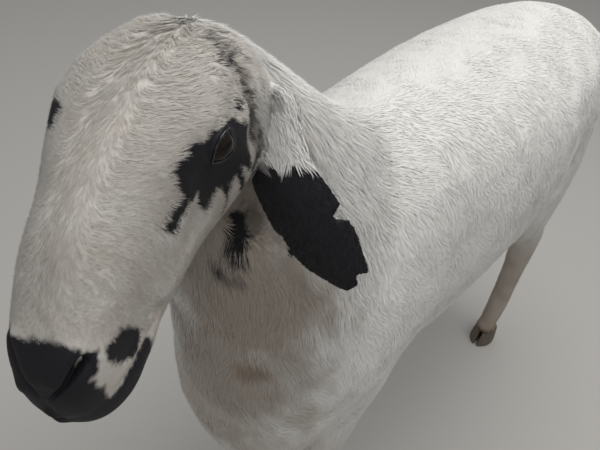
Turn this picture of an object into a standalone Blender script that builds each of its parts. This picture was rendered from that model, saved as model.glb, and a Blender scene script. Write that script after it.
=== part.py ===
"""A shorn Kajli sheep, life size, standing and reaching its head forward and to its left.

Metres, +Z up. The sheep faces -Y and its own left side is +X. The origin is on the floor.
Every soft part is a run of cross sections skinned with faces. The runs are fused and
smoothed into one body, which is then parted into the pieces that a person would name.
"""

import math

import bmesh
import bpy
import numpy as np
from mathutils import Matrix, Vector

# ---------------------------------------------------------------- driving dimensions
GAP = 0.0003  # kept between two pieces that meet
FUSE_VOXEL = 0.0050  # grain of the fused body
BODY_TRIANGLES = 4250  # the fused body after thinning

HEAD_POLL = Vector((-0.010, -0.485, 0.942))  # top of the head, where the neck begins
HEAD_TURN = 25.0  # degrees to its own left
HEAD_DIP = 27.0  # degrees that the bridge of the nose points down
HEAD_LEAN = -1.5  # degrees, right side down

HOOF_HEIGHT = 0.040
DEWCLAW_BEHIND = {"fore": 0.0470, "hind": 0.0385}  # of the middle of the foot
EYE_RADIUS = 0.0145
EYE_CENTRE = Vector((0.0840, -0.0050, 0.0470))  # in the head: forward, up, to one side
EAR_DROP = (  # from the root of an ear to its tip: outward, down, back
    (0.000, 0.000, 0.000),
    (0.012, 0.003, 0.002),
    (0.021, 0.018, -0.001),
    (0.028, 0.038, -0.005),
    (0.036, 0.066, -0.012),
    (0.050, 0.093, -0.015),
    (0.067, 0.121, -0.014),
    (0.083, 0.145, -0.012),
    (0.105, 0.170, -0.006),
)
FAR_EAR_DRAWN_IN = 0.86  # the right ear hangs closer to the cheek, by this share of its outward run
SOLE_SPLIT = 0.0035  # between the two claws of a foot

# Where the body is parted.
FORE_CUT = (0.036, -0.372, -0.215, 0.418)  # inner face, front, back and top of a fore leg's block
FORE_CUT_SPLAY = 3.4  # degrees that the block leans out, as the leg does
FORE_STEP = 0.315  # how far ahead of the origin the middle of the two fore feet stands
HIND_CUT = (0.038, 0.190, 0.505)  # inner face, front and top of a hind leg's block
TAIL_CUT = (0.474, 0.300, 0.740)  # front, bottom and top of the tail's block
NECK_BASE = Vector((0.000, -0.330, 0.700))
NECK_LEAVES = (0.0, -0.80, 0.60)  # square to the cut between neck and trunk
HEAD_CUT = ((-0.014, -0.172, -0.150), (0.400, 0.150, 0.150))  # a block in the head's frame
HEAD_CUT_TILT = 15.0  # degrees

LEFT, RIGHT = 1, -1

# Legs: how far the foot stands from the middle line, and where along the body.
FORE_HOOF = {LEFT: Vector((0.070, -0.345, 0.0)), RIGHT: Vector((-0.074, -0.285, 0.0))}
HIND_HOOF = {LEFT: Vector((0.076, 0.378, 0.0)), RIGHT: Vector((-0.080, 0.405, 0.0))}

COAT_WHITE = (0.74, 0.72, 0.68, 1.0)
SKIN_BLACK = (0.018, 0.016, 0.017, 1.0)
HORN_GREY = (0.09, 0.075, 0.06, 1.0)
EYE_BROWN = (0.06, 0.03, 0.015, 1.0)


# ---------------------------------------------------------------- tools
def clear_scene():
    for obj in list(bpy.data.objects):
        bpy.data.objects.remove(obj)


def smooth_run(rows, count, closed=False):
    """A smooth curve through the rows, sampled at count places. Catmull-Rom."""
    rows = np.asarray(rows, float)
    total = len(rows)
    spans = total if closed else total - 1
    places = np.linspace(0, spans, count, endpoint=not closed)
    first = np.minimum(places.astype(int), spans - 1)
    t = (places - first)[:, None]

    def row(i):
        return rows[i % total] if closed else rows[np.clip(i, 0, total - 1)]

    a, b, c, d = row(first - 1), row(first), row(first + 1), row(first + 2)
    return 0.5 * (
        2 * b + (c - a) * t + (2 * a - 5 * b + 4 * c - d) * t**2 + (3 * b - a - 3 * c + d) * t**3
    )


def ring(top, bottom, side, widths, sides):
    """One cross section. widths are the half widths near the top, in the middle and near the bottom."""
    upper, middle, lower = widths
    outline = [(0, 1.0), (upper, 0.86), (middle, 0.5), (lower, 0.14), (0, 0.0)]
    outline += [(-lower, 0.14), (-middle, 0.5), (-upper, 0.86)]
    points = smooth_run(outline, sides, closed=True)
    return bottom + points[:, 1:2] * (top - bottom) + points[:, 0:1] * side


def mesh_object(name, vertices, faces):
    mesh = bpy.data.meshes.new(name)
    mesh.from_pydata([tuple(v) for v in vertices], [], faces)
    obj = bpy.data.objects.new(name, mesh)
    bpy.context.scene.collection.objects.link(obj)
    shape = bmesh.new()
    shape.from_mesh(mesh)
    bmesh.ops.recalc_face_normals(shape, faces=shape.faces)
    shape.to_mesh(mesh)
    shape.free()
    return obj


def loft(name, stations, rings=24, sides=24):
    """A closed skin over cross sections. A station is (top, bottom, side direction, three half widths)."""
    rows = [[*top, *bottom, *side, *widths] for top, bottom, side, widths in stations]
    points = []
    for row in smooth_run(rows, rings):
        side = row[6:9] / np.linalg.norm(row[6:9])
        points.append(ring(row[0:3], row[3:6], side, np.maximum(row[9:12], 0.0008), sides))
    vertices = np.concatenate(points + [[points[0].mean(0)], [points[-1].mean(0)]])
    faces = []
    for r in range(rings - 1):
        for s in range(sides):
            t = (s + 1) % sides
            faces.append((r * sides + s, r * sides + t, (r + 1) * sides + t, (r + 1) * sides + s))
    start, end = rings * sides, rings * sides + 1
    for s in range(sides):
        t = (s + 1) % sides
        faces.append((start, t, s))
        faces.append((end, (rings - 1) * sides + s, (rings - 1) * sides + t))
    return mesh_object(name, vertices, faces)


def limb(name, joints, rings=30, sides=18):
    """A loft along a leg. A joint is (point, half width, half depth), from the body down."""
    points = np.array([p for p, _, _ in joints])
    along = np.gradient(points, axis=0)
    stations = []
    for (point, width, depth), run in zip(joints, along):
        front = np.array([0.0, run[2], -run[1]])
        front *= -1 if front[1] > 0 else 1
        front /= np.linalg.norm(front)
        reach = front * depth
        middle = np.array(point)
        stations.append((middle + reach, middle - reach, (1, 0, 0), (width * 0.74, width, width * 0.74)))
    return loft(name, stations, rings, sides)


def baked(obj):
    """Applies the object's modifiers."""
    graph = bpy.context.evaluated_depsgraph_get()
    mesh = bpy.data.meshes.new_from_object(obj.evaluated_get(graph))
    obj.modifiers.clear()
    obj.data = mesh
    return obj


def helper(obj):
    obj.hide_render = True
    obj.display_type = "WIRE"
    return obj


def boolean(obj, other, operation):
    modifier = obj.modifiers.new(operation.title(), "BOOLEAN")
    modifier.operation = operation
    modifier.object = other
    modifier.solver = "EXACT"
    return baked(obj)


def copy_of(obj, name):
    made = bpy.data.objects.new(name, obj.data.copy())
    made.matrix_world = obj.matrix_world
    bpy.context.scene.collection.objects.link(made)
    return made


def material(name, colour, roughness):
    made = bpy.data.materials.get(name)
    if made is None:
        made = bpy.data.materials.new(name)
        made.use_nodes = True
        shader = made.node_tree.nodes["Principled BSDF"]
        shader.inputs["Base Color"].default_value = colour
        shader.inputs["Roughness"].default_value = roughness
    return made


def finish(obj, name, colour, roughness):
    obj.data.materials.clear()
    obj.data.materials.append(material(name, colour, roughness))
    return obj


# ---------------------------------------------------------------- the head's own frame
def head_matrix():
    """Carries (forward, up, to its left) of the head into the world."""
    turn = Matrix.Rotation(math.radians(HEAD_TURN), 4, "Z")
    dip = Matrix.Rotation(math.radians(HEAD_DIP), 4, "X")
    lean = Matrix.Rotation(math.radians(HEAD_LEAN), 4, "Y")
    axes = Matrix(((0, 0, 1, 0), (-1, 0, 0, 0), (0, 1, 0, 0), (0, 0, 0, 1)))
    return Matrix.Translation(HEAD_POLL) @ turn @ dip @ lean @ axes


HEAD = head_matrix()


def in_head(forward, up, left=0.0):
    return np.array(HEAD @ Vector((forward, up, left)))


HEAD_SIDE = tuple(HEAD.to_3x3() @ Vector((0, 0, 1)))


# ---------------------------------------------------------------- soft parts
def head_run():
    """forward, top, bottom, half widths high, middle and low."""
    profile = [
        (-0.046, -0.040, -0.090, 0.019, 0.026, 0.020),
        (-0.024, -0.008, -0.112, 0.036, 0.047, 0.038),
        (0.008, 0.014, -0.126, 0.053, 0.058, 0.046),
        (0.043, 0.031, -0.135, 0.059, 0.061, 0.046),
        (0.080, 0.042, -0.125, 0.054, 0.058, 0.041),
        (0.118, 0.045, -0.110, 0.043, 0.051, 0.037),
        (0.154, 0.042, -0.099, 0.031, 0.046, 0.036),
        (0.186, 0.033, -0.091, 0.030, 0.041, 0.036),
        (0.215, 0.016, -0.089, 0.029, 0.036, 0.036),
        (0.240, -0.007, -0.088, 0.027, 0.029, 0.032),
        (0.256, -0.026, -0.082, 0.020, 0.022, 0.024),
        (0.263, -0.041, -0.068, 0.007, 0.009, 0.008),
    ]
    stations = [
        (in_head(s, top), in_head(s, bottom), HEAD_SIDE, widths) for s, top, bottom, *widths in profile
    ]
    return loft("head_run", stations, rings=44, sides=36)


def orbit_run(side):
    """The bony ring that carries one eye."""
    centre = in_head(EYE_CENTRE.x - 0.002, EYE_CENTRE.y + 0.002, side * (EYE_CENTRE.z - 0.003))
    shape = bmesh.new()
    bmesh.ops.create_icosphere(shape, subdivisions=3, radius=1.0)
    mesh = bpy.data.meshes.new("orbit_run")
    shape.to_mesh(mesh)
    shape.free()
    obj = bpy.data.objects.new("orbit_run", mesh)
    bpy.context.scene.collection.objects.link(obj)
    size = Matrix.Diagonal((0.030, 0.024, 0.0165, 1.0))
    mesh.transform(Matrix.Translation(centre) @ HEAD.to_3x3().to_4x4() @ size)
    return obj


def neck_run():
    """top point, bottom point, half widths, from inside the head down to the chest."""
    turned = Vector(HEAD_SIDE)
    square = Vector((1, 0, 0))
    rows = [
        (in_head(0.030, -0.004), in_head(0.045, -0.110), 1.0, (0.034, 0.046, 0.038)),
        (in_head(-0.012, -0.006), in_head(-0.002, -0.124), 0.9, (0.043, 0.058, 0.048)),
        ((-0.014, -0.402, 0.906), (0.006, -0.486, 0.742), 0.5, (0.054, 0.074, 0.060)),
        ((-0.004, -0.316, 0.842), (0.006, -0.480, 0.630), 0.2, (0.058, 0.092, 0.078)),
        ((0.000, -0.232, 0.793), (0.004, -0.462, 0.500), 0.0, (0.070, 0.116, 0.092)),
        ((0.000, -0.150, 0.756), (0.000, -0.370, 0.430), 0.0, (0.070, 0.110, 0.080)),
    ]
    stations = [(t, b, tuple(square.lerp(turned, share)), widths) for t, b, share, widths in rows]
    return loft("neck_run", stations, rings=26, sides=30)


def trunk_run():
    """along, top, bottom, half widths high, middle and low."""
    profile = [
        (-0.462, 0.590, 0.470, 0.020, 0.030, 0.020),
        (-0.440, 0.690, 0.384, 0.062, 0.088, 0.068),
        (-0.378, 0.756, 0.356, 0.090, 0.122, 0.092),
        (-0.275, 0.792, 0.372, 0.094, 0.136, 0.094),
        (-0.170, 0.804, 0.390, 0.108, 0.146, 0.098),
        (-0.050, 0.801, 0.406, 0.124, 0.156, 0.104),
        (0.080, 0.801, 0.420, 0.132, 0.160, 0.104),
        (0.200, 0.802, 0.444, 0.126, 0.150, 0.094),
        (0.300, 0.798, 0.460, 0.110, 0.136, 0.086),
        (0.390, 0.772, 0.495, 0.088, 0.112, 0.070),
        (0.450, 0.724, 0.550, 0.052, 0.074, 0.046),
        (0.476, 0.670, 0.600, 0.018, 0.030, 0.018),
    ]
    stations = [((0, y, top), (0, y, bottom), (1, 0, 0), w) for y, top, bottom, *w in profile]
    return loft("trunk_run", stations, rings=40, sides=40)


def fore_leg_run(side):
    foot = FORE_HOOF[side]
    step = foot.y + 0.315  # how far this foot stands from its place under the shoulder
    joints = [  # height, outward of the foot, along, half width, half depth
        (0.700, 0.000, -0.215, 0.030, 0.060),
        (0.620, 0.012, -0.290, 0.042, 0.085),
        (0.540, 0.018, -0.318, 0.046, 0.085),
        (0.470, 0.016, -0.282, 0.042, 0.068),
        (0.420, 0.012, -0.287, 0.034, 0.048),
        (0.350, 0.007, -0.300, 0.027, 0.034),
        (0.295, 0.003, -0.306, 0.0250, 0.0290),
        (0.262, 0.001, -0.309, 0.0255, 0.0295),
        (0.225, 0.001, -0.307, 0.0215, 0.0250),
        (0.165, 0.000, -0.305, 0.0195, 0.0230),
        (0.110, 0.000, -0.303, 0.0205, 0.0240),
        (0.090, 0.000, -0.304, 0.0215, 0.0250),
        (0.062, 0.000, -0.314, 0.0195, 0.0210),
        (0.042, 0.000, -0.322, 0.0225, 0.0245),
        (0.034, 0.000, -0.325, 0.0225, 0.0245),
    ]
    rows = []
    for height, across, along, width, depth in joints:
        share = min(1.0, max(0.0, (0.50 - height) / 0.50))
        rows.append(((foot.x + side * across, along + step * share + 0.010 * share, height), width, depth))
    return limb("fore_leg_run", rows)


def hind_leg_run(side):
    foot = HIND_HOOF[side]
    step = foot.y - 0.315
    joints = [
        (0.690, -0.006, 0.330, 0.045, 0.090),
        (0.600, 0.006, 0.312, 0.050, 0.120),
        (0.510, 0.014, 0.280, 0.048, 0.104),
        (0.440, 0.016, 0.272, 0.041, 0.076),
        (0.380, 0.014, 0.312, 0.031, 0.052),
        (0.330, 0.010, 0.346, 0.0290, 0.0430),
        (0.290, 0.007, 0.358, 0.0270, 0.0410),
        (0.262, 0.006, 0.355, 0.0260, 0.0360),
        (0.225, 0.005, 0.350, 0.0240, 0.0300),
        (0.165, 0.003, 0.345, 0.0225, 0.0265),
        (0.112, 0.002, 0.339, 0.0225, 0.0265),
        (0.092, 0.001, 0.334, 0.0225, 0.0260),
        (0.062, 0.000, 0.320, 0.0200, 0.0215),
        (0.042, 0.000, 0.311, 0.0225, 0.0240),
        (0.034, 0.000, 0.308, 0.0225, 0.0240),
    ]
    rows = []
    for height, across, along, width, depth in joints:
        share = min(1.0, max(0.0, (0.55 - height) / 0.55))
        rows.append(((foot.x + side * across, along + step * share + 0.010 * share, height), width, depth))
    return limb("hind_leg_run", rows)


def tail_run():
    """Hangs from the rump to just above the hocks."""
    points = [(0.440, 0.720), (0.480, 0.690), (0.502, 0.620), (0.504, 0.540), (0.498, 0.470), (0.492, 0.430)]
    sizes = [(0.026, 0.020), (0.026, 0.020), (0.022, 0.017), (0.018, 0.014), (0.014, 0.011), (0.006, 0.005)]
    rows = [((0.0, y, z), w, d) for (y, z), (w, d) in zip(points, sizes)]
    return limb("tail_run", rows, rings=18, sides=14)


def merged(runs, name):
    """All the runs as one mesh, still overlapping."""
    body = runs[0]
    shape = bmesh.new()
    for run in runs:
        shape.from_mesh(run.data)
    shape.to_mesh(body.data)
    shape.free()
    for run in runs[1:]:
        bpy.data.objects.remove(run)
    body.name = name
    return body


def vertex_array(obj):
    flat = np.empty(len(obj.data.vertices) * 3)
    obj.data.vertices.foreach_get("co", flat)
    return flat.reshape(-1, 3)


def set_vertices(obj, points):
    obj.data.vertices.foreach_set("co", points.ravel())
    obj.data.update()


def edge_array(obj):
    flat = np.empty(len(obj.data.edges) * 2, dtype=np.int64)
    obj.data.edges.foreach_get("vertices", flat)
    return flat.reshape(-1, 2)


def ramp(value, low, high):
    t = np.clip((value - low) / (high - low), 0.0, 1.0)
    return t * t * (3.0 - 2.0 * t)


def relax(obj, share, times):
    """Draws every point toward its neighbours' middle, by its own share."""
    points = vertex_array(obj)
    edges = edge_array(obj)
    count = np.zeros(len(points))
    np.add.at(count, edges.ravel(), 1.0)
    for _ in range(times):
        total = np.zeros_like(points)
        np.add.at(total, edges[:, 0], points[edges[:, 1]])
        np.add.at(total, edges[:, 1], points[edges[:, 0]])
        points += (total / count[:, None] - points) * share[:, None]
    set_vertices(obj, points)


def to_head(points):
    """World points as (forward, up, to its left) of the head."""
    inverse = np.array(HEAD.inverted())
    return points @ inverse[:3, :3].T + inverse[:3, 3]


def from_head(points):
    matrix = np.array(HEAD)
    return points @ matrix[:3, :3].T + matrix[:3, 3]


def distance_to_path(points, path):
    """Distance from every point to a run of straight pieces."""
    best = np.full(len(points), 1e9)
    for start, end in zip(path[:-1], path[1:]):
        run = end - start
        t = np.clip(((points - start) @ run) / (run @ run), 0.0, 1.0)
        best = np.minimum(best, np.linalg.norm(points - start - t[:, None] * run, axis=1))
    return best


def press(points, normals, path, width, depth):
    """A groove of the given width and depth along a path. A negative depth raises a ridge."""
    away = distance_to_path(points, np.asarray(path, float))
    return points - normals * (depth * np.exp(-((away / width) ** 2)))[:, None]


def shape_face(obj):
    """Nostrils, mouth, cheek and brow, worked in the head's own frame."""
    obj.data.update()
    flat = np.empty(len(obj.data.vertices) * 3)
    obj.data.vertices.foreach_get("normal", flat)
    inverse = np.array(HEAD.inverted())
    normals = flat.reshape(-1, 3) @ inverse[:3, :3].T
    face = to_head(vertex_array(obj))
    near = (face[:, 0] > -0.03) & (np.abs(face[:, 2]) < 0.09) & (face[:, 1] > -0.16)
    points, outward = face[near], normals[near]
    for side in (LEFT, RIGHT):
        mouth = [(0.196, -0.051, side * 0.039), (0.216, -0.053, side * 0.036), (0.240, -0.054, side * 0.027)]
        points = press(points, outward, [*mouth, (0.262, -0.058, 0.0)], 0.006, 0.0030)
        nostril = [(0.235, -0.012, side * 0.022), (0.247, -0.020, side * 0.015)]
        points = press(points, outward, [*nostril, (0.257, -0.031, side * 0.005)], 0.005, 0.0040)
        wing = [(0.234, -0.001, side * 0.014), (0.250, -0.017, side * 0.005)]
        points = press(points, outward, wing, 0.008, -0.0012)
        tear = [(0.108, -0.020, side * 0.055), (0.135, -0.035, side * 0.050)]
        points = press(points, outward, tear, 0.012, 0.0035)
        jaw = [(0.030, -0.085, side * 0.060), (0.090, -0.075, side * 0.057)]
        points = press(points, outward, jaw, 0.034, -0.0030)
        temple = [(0.045, 0.005, side * 0.055), (0.020, -0.005, side * 0.055)]
        points = press(points, outward, temple, 0.014, 0.0030)
    philtrum = [(0.262, -0.036, 0.0), (0.263, -0.056, 0.0)]
    points = press(points, outward, philtrum, 0.004, 0.0020)
    face[near] = points
    set_vertices(obj, from_head(face))


def shape_trunk(obj):
    """Flank hollows, the furrow behind each elbow and the loose skin of the throat."""
    obj.data.update()
    flat = np.empty(len(obj.data.vertices) * 3)
    obj.data.vertices.foreach_get("normal", flat)
    normals = flat.reshape(-1, 3)
    points = vertex_array(obj)
    for side in (LEFT, RIGHT):
        flank = [(side * 0.125, 0.165, 0.700), (side * 0.130, 0.190, 0.560)]
        points = press(points, normals, flank, 0.050, 0.0090)
        elbow = [(side * 0.125, -0.190, 0.640), (side * 0.110, -0.215, 0.460)]
        points = press(points, normals, elbow, 0.030, 0.0070)
        blade = [(side * 0.110, -0.230, 0.740), (side * 0.115, -0.340, 0.560)]
        points = press(points, normals, blade, 0.050, -0.0050)
        jugular = [(side * 0.060, -0.450, 0.720), (side * 0.080, -0.440, 0.560)]
        points = press(points, normals, jugular, 0.022, 0.0050)
        thigh = [(side * 0.095, 0.380, 0.640), (side * 0.105, 0.330, 0.480)]
        points = press(points, normals, thigh, 0.050, -0.0040)
    set_vertices(obj, points)


def largest_shell(obj):
    """Drops any stray shell beside the main one."""
    shape = bmesh.new()
    shape.from_mesh(obj.data)
    left = set(shape.verts)
    shells = []
    while left:
        front = [left.pop()]
        shell = list(front)
        while front:
            for edge in front.pop().link_edges:
                for vertex in edge.verts:
                    if vertex in left:
                        left.discard(vertex)
                        front.append(vertex)
                        shell.append(vertex)
        shells.append(shell)
    shells.sort(key=len)
    for shell in shells[:-1]:
        bmesh.ops.delete(shape, geom=shell, context="VERTS")
    shape.to_mesh(obj.data)
    shape.free()
    return obj


def thin_out(obj, triangles):
    """Fewer faces, with more of them kept on the head and the lower legs."""
    points = vertex_array(obj)
    head = ramp(to_head(points)[:, 0], -0.06, 0.03) * (points[:, 1] < -0.36) * (points[:, 2] > 0.60)
    legs = ramp(0.42 - points[:, 2], 0.0, 0.05) * 0.2
    spare = 1.0 - 0.015 * np.maximum(head, legs)
    group = obj.vertex_groups.new(name="spare")
    steps = np.round(spare * 1000).astype(int)
    for step in np.unique(steps):
        group.add([int(i) for i in np.nonzero(steps == step)[0]], int(step) / 1000, "REPLACE")
    thin = obj.modifiers.new("Thin", "DECIMATE")
    thin.ratio = triangles / sum(len(p.vertices) - 2 for p in obj.data.polygons)
    thin.vertex_group = group.name
    thin.vertex_group_factor = 1.0
    thin.use_collapse_triangulate = True
    baked(obj)
    obj.vertex_groups.clear()
    return largest_shell(obj)


def fused_body():
    """Every soft run in one closed skin."""
    runs = [head_run(), neck_run(), trunk_run(), tail_run()]
    for side in (LEFT, RIGHT):
        runs += [orbit_run(side), fore_leg_run(side), hind_leg_run(side)]
    body = merged(runs, "body")
    fuse = body.modifiers.new("Fuse", "REMESH")
    fuse.mode = "VOXEL"
    fuse.voxel_size = FUSE_VOXEL
    baked(body)
    points = vertex_array(body)
    legs = ramp(0.40 - points[:, 2], 0.0, 0.06)
    head = ramp(to_head(points)[:, 0], -0.02, 0.05) * (points[:, 1] < -0.38) * (points[:, 2] > 0.60)
    tail = ramp(points[:, 1], 0.46, 0.49)
    detail = np.clip(legs + head + tail, 0.0, 1.0)
    relax(body, 0.6 * (1.0 - detail), 26)
    relax(body, np.full(len(points), 0.5), 6)
    shape_trunk(body)
    shape_face(body)
    relax(body, np.full(len(points), 0.3), 1)
    return thin_out(body, BODY_TRIANGLES)


# ---------------------------------------------------------------- ears, eyes, hooves
def ear_spine(side):
    """Root to tip of a hanging ear, and the way its outer face looks."""
    turn = math.radians(HEAD_TURN)
    outward = np.array([math.cos(turn), math.sin(turn), 0.0]) * side
    ahead = np.array([math.sin(turn), -math.cos(turn), 0.0])
    down = np.array([0.0, 0.0, -1.0])
    root = in_head(0.006, -0.040, side * 0.044)
    out_by = 1.0 if side == LEFT else FAR_EAR_DRAWN_IN
    spine = np.array([root + outward * (o * out_by) + down * d - ahead * b for o, d, b in EAR_DROP])
    return spine, outward * 0.34 + ahead * 0.92


def ear(side):
    """A folded, drooping blade. Widths are toward the head, away from it, and through it."""
    spine, looks = ear_spine(side)
    rows, count = 16, 7
    path = smooth_run(spine, rows)
    widths = smooth_run(
        [
            (0.013, 0.010, 0.0120),
            (0.019, 0.014, 0.0110),
            (0.021, 0.021, 0.0090),
            (0.026, 0.021, 0.0075),
            (0.028, 0.025, 0.0066),
            (0.028, 0.031, 0.0062),
            (0.027, 0.034, 0.0060),
            (0.020, 0.032, 0.0056),
            (0.008, 0.021, 0.0050),
        ],
        rows,
    )
    run = np.gradient(path, axis=0)
    run /= np.linalg.norm(run, axis=1)[:, None]
    outer = []
    inner = []
    for r in range(rows):
        facing = looks - run[r] * (looks @ run[r])
        facing /= np.linalg.norm(facing)
        across = np.cross(facing, run[r]) * side
        for c in range(count):
            t = c / (count - 1) * 2 - 1
            wide = widths[r, 0] if t < 0 else widths[r, 1]
            fold = -0.009 * t * t * (wide / 0.028)
            middle = path[r] + across * t * wide + facing * fold
            half = widths[r, 2] * 0.5 * math.sqrt(max(1.0 - t * t, 0.0)) + 0.0006
            outer.append(middle + facing * half)
            inner.append(middle - facing * half)
    vertices = np.array(outer + inner)
    shift = rows * count
    faces = []
    for r in range(rows - 1):
        for c in range(count - 1):
            a = r * count + c
            b = a + count
            faces.append((a, a + 1, b + 1, b))
            faces.append((a + shift, b + shift, b + 1 + shift, a + 1 + shift))
        for a in (r * count, r * count + count - 1):
            b = a + count
            faces.append((a, b, b + shift, a + shift))
    for r in (0, rows - 1):
        for c in range(count - 1):
            a = r * count + c
            faces.append((a, a + 1, a + 1 + shift, a + shift))
    name = "ear_left" if side == LEFT else "ear_right"
    return mesh_object(name, vertices, faces), path, looks


def prism(name, centre, along, across, size):
    """A three sided cutter that points along, for the notches cut in an ear."""
    along = along / np.linalg.norm(along)
    across = across - along * (across @ along)
    across /= np.linalg.norm(across)
    normal = np.cross(along, across)
    length, half = size
    vertices = []
    for lift in (-0.03, 0.03):
        for u, v in ((length, 0.0), (-0.02, -half), (-0.02, half)):
            vertices.append(centre + along * u + across * v + normal * lift)
    faces = [(0, 1, 2), (3, 5, 4), (0, 3, 4, 1), (1, 4, 5, 2), (2, 5, 3, 0)]
    return helper(mesh_object(name, vertices, faces))


def notch_ear(obj, path, looks, side):
    """The shepherd's marks: a nick in the rear edge, a step below it, and a nick in the tip."""
    run = path[-1] - path[-5]
    run /= np.linalg.norm(run)
    facing = looks - run * (looks @ run)
    facing /= np.linalg.norm(facing)
    across = np.cross(facing, run) * side
    nick = prism("nick_rear", path[-5] + across * 0.031, -across - run * 0.3, run, (0.011, 0.018))
    boolean(obj, nick, "DIFFERENCE")
    step = prism("nick_step", path[-4] + across * 0.038, -across - run * 0.6, run, (0.010, 0.010))
    boolean(obj, step, "DIFFERENCE")
    tip = prism("nick_tip", path[-1] + across * 0.013, -across * 0.3 - run, across, (0.014, 0.013))
    boolean(obj, tip, "DIFFERENCE")
    for cutter in (nick, step, tip):
        bpy.data.objects.remove(cutter)


def ball(name, radius, centre, segments=14, rings=9):
    shape = bmesh.new()
    bmesh.ops.create_uvsphere(shape, u_segments=segments, v_segments=rings, radius=radius)
    mesh = bpy.data.meshes.new(name)
    shape.to_mesh(mesh)
    shape.free()
    mesh.transform(Matrix.Translation(Vector([float(c) for c in centre])))
    obj = bpy.data.objects.new(name, mesh)
    bpy.context.scene.collection.objects.link(obj)
    return obj


def claw(name, foot, side_of_foot):
    """One half of a cloven hoof: flat sole, sloping front, straight inner wall."""
    levels = [(0.0, 1.0, 0.0), (0.012, 0.97, -0.002), (0.026, 0.90, -0.006)]
    levels.append((HOOF_HEIGHT - 0.006, 0.84, -0.010))
    width = 0.0235
    outline = [(0.0, -0.024), (0.70, -0.026), (1.0, -0.012), (0.96, 0.008), (0.62, 0.024), (0.12, 0.034)]
    points = smooth_run(outline, 14)
    vertices = []
    for height, grow, back in levels:
        for across, along in points:
            x = side_of_foot * (SOLE_SPLIT / 2 + across * width * grow)
            y = -(along * grow) - back
            vertices.append((foot.x + x, foot.y + y, height))
    count = len(points)
    faces = []
    for r in range(len(levels) - 1):
        for c in range(count):
            d = (c + 1) % count
            faces.append((r * count + c, r * count + d, (r + 1) * count + d, (r + 1) * count + c))
    faces.append(tuple(range(count)))
    faces.append(tuple(range((len(levels) - 1) * count, len(levels) * count)))
    return mesh_object(name, vertices, faces)


def dewclaw(name, foot, side_of_foot, behind):
    """A small horn at the back of the fetlock."""
    obj = ball(name, 1.0, (0.0, 0.0, 0.0), 8, 4)
    size = Matrix.Diagonal((0.0065, 0.0065, 0.0090, 1.0))
    lean = Matrix.Rotation(math.radians(20.0), 4, "X")
    place = Matrix.Translation((foot.x + side_of_foot * 0.0115, foot.y + behind, 0.086))
    obj.data.transform(place @ lean @ size)
    return obj


# ---------------------------------------------------------------- parting the body
def slab(name, centre, normal, size, thickness=GAP):
    """A thin plate, used to part two pieces."""
    mesh = bpy.data.meshes.new(name)
    shape = bmesh.new()
    bmesh.ops.create_cube(shape, size=1.0)
    shape.to_mesh(mesh)
    shape.free()
    turn = Vector(normal).to_track_quat("Z", "Y").to_matrix().to_4x4()
    scale = Matrix.Diagonal((size, size, thickness, 1.0))
    mesh.transform(Matrix.Translation(Vector([float(c) for c in centre])) @ turn @ scale)
    obj = bpy.data.objects.new(name, mesh)
    bpy.context.scene.collection.objects.link(obj)
    return helper(obj)


def block(name, low, high):
    """An upright box between two corners."""
    mesh = bpy.data.meshes.new(name)
    shape = bmesh.new()
    bmesh.ops.create_cube(shape, size=1.0)
    shape.to_mesh(mesh)
    shape.free()
    low, high = Vector(low), Vector(high)
    spread = high - low
    scale = Matrix.Diagonal((spread.x, spread.y, spread.z, 1.0))
    mesh.transform(Matrix.Translation((low + high) / 2) @ scale)
    obj = bpy.data.objects.new(name, mesh)
    bpy.context.scene.collection.objects.link(obj)
    return helper(obj)


def split_off(body, name, low, high, frame=None):
    """Cuts the part of the body inside a box away, leaving a thin gap all round."""
    piece = copy_of(body, name)
    margin = Vector((GAP, GAP, GAP))
    inside = block("inside", low, high)
    around = block("around", Vector(low) - margin, Vector(high) + margin)
    if frame is not None:
        for box in (inside, around):
            box.data.transform(frame)
            if frame.determinant() < 0:
                box.data.flip_normals()
    boolean(piece, inside, "INTERSECT")
    boolean(body, around, "DIFFERENCE")
    bpy.data.objects.remove(inside)
    bpy.data.objects.remove(around)
    return piece


def half_behind(body, name, point, normal):
    """Takes everything on the normal's side of a plane away from the body."""
    normal = Vector(normal).normalized()
    far = Vector(point) + normal * (1.0 + GAP / 2)
    cutter = slab("far_half", far, normal, 4.0, 2.0)
    piece = copy_of(body, name)
    boolean(piece, cutter, "INTERSECT")
    near = slab("near_half", Vector(point) - normal * (1.0 + GAP / 2), normal, 4.0, 2.0)
    boolean(body, near, "INTERSECT")
    bpy.data.objects.remove(cutter)
    bpy.data.objects.remove(near)
    return piece


def trim_floor(obj, height):
    """Cuts a leg off level, just above its claws."""
    cutter = slab("below", Vector((0, 0, height - 0.5)), (0, 0, 1), 4.0, 1.0)
    boolean(obj, cutter, "DIFFERENCE")
    bpy.data.objects.remove(cutter)


def clear_of(obj, other, room=GAP):
    """Takes from obj all that lies inside the other, and a thin gap around it."""
    grown = copy_of(other, "grown")
    points = vertex_array(grown)
    flat = np.empty(len(points) * 3)
    grown.data.vertices.foreach_get("normal", flat)
    set_vertices(grown, points + flat.reshape(-1, 3) * (room * 1.3))
    helper(grown)
    boolean(obj, grown, "DIFFERENCE")
    bpy.data.objects.remove(grown)
    return largest_shell(obj)


def stand_over_origin(objects):
    """Moves the whole animal so that the middle of its outline stands over the origin."""
    points = np.concatenate([vertex_array(obj) for obj in objects])
    middle = (points.min(0) + points.max(0)) / 2
    shift = Matrix.Translation((-middle[0], -middle[1], -points[:, 2].min()))
    for obj in objects:
        obj.data.transform(shift)


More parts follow.
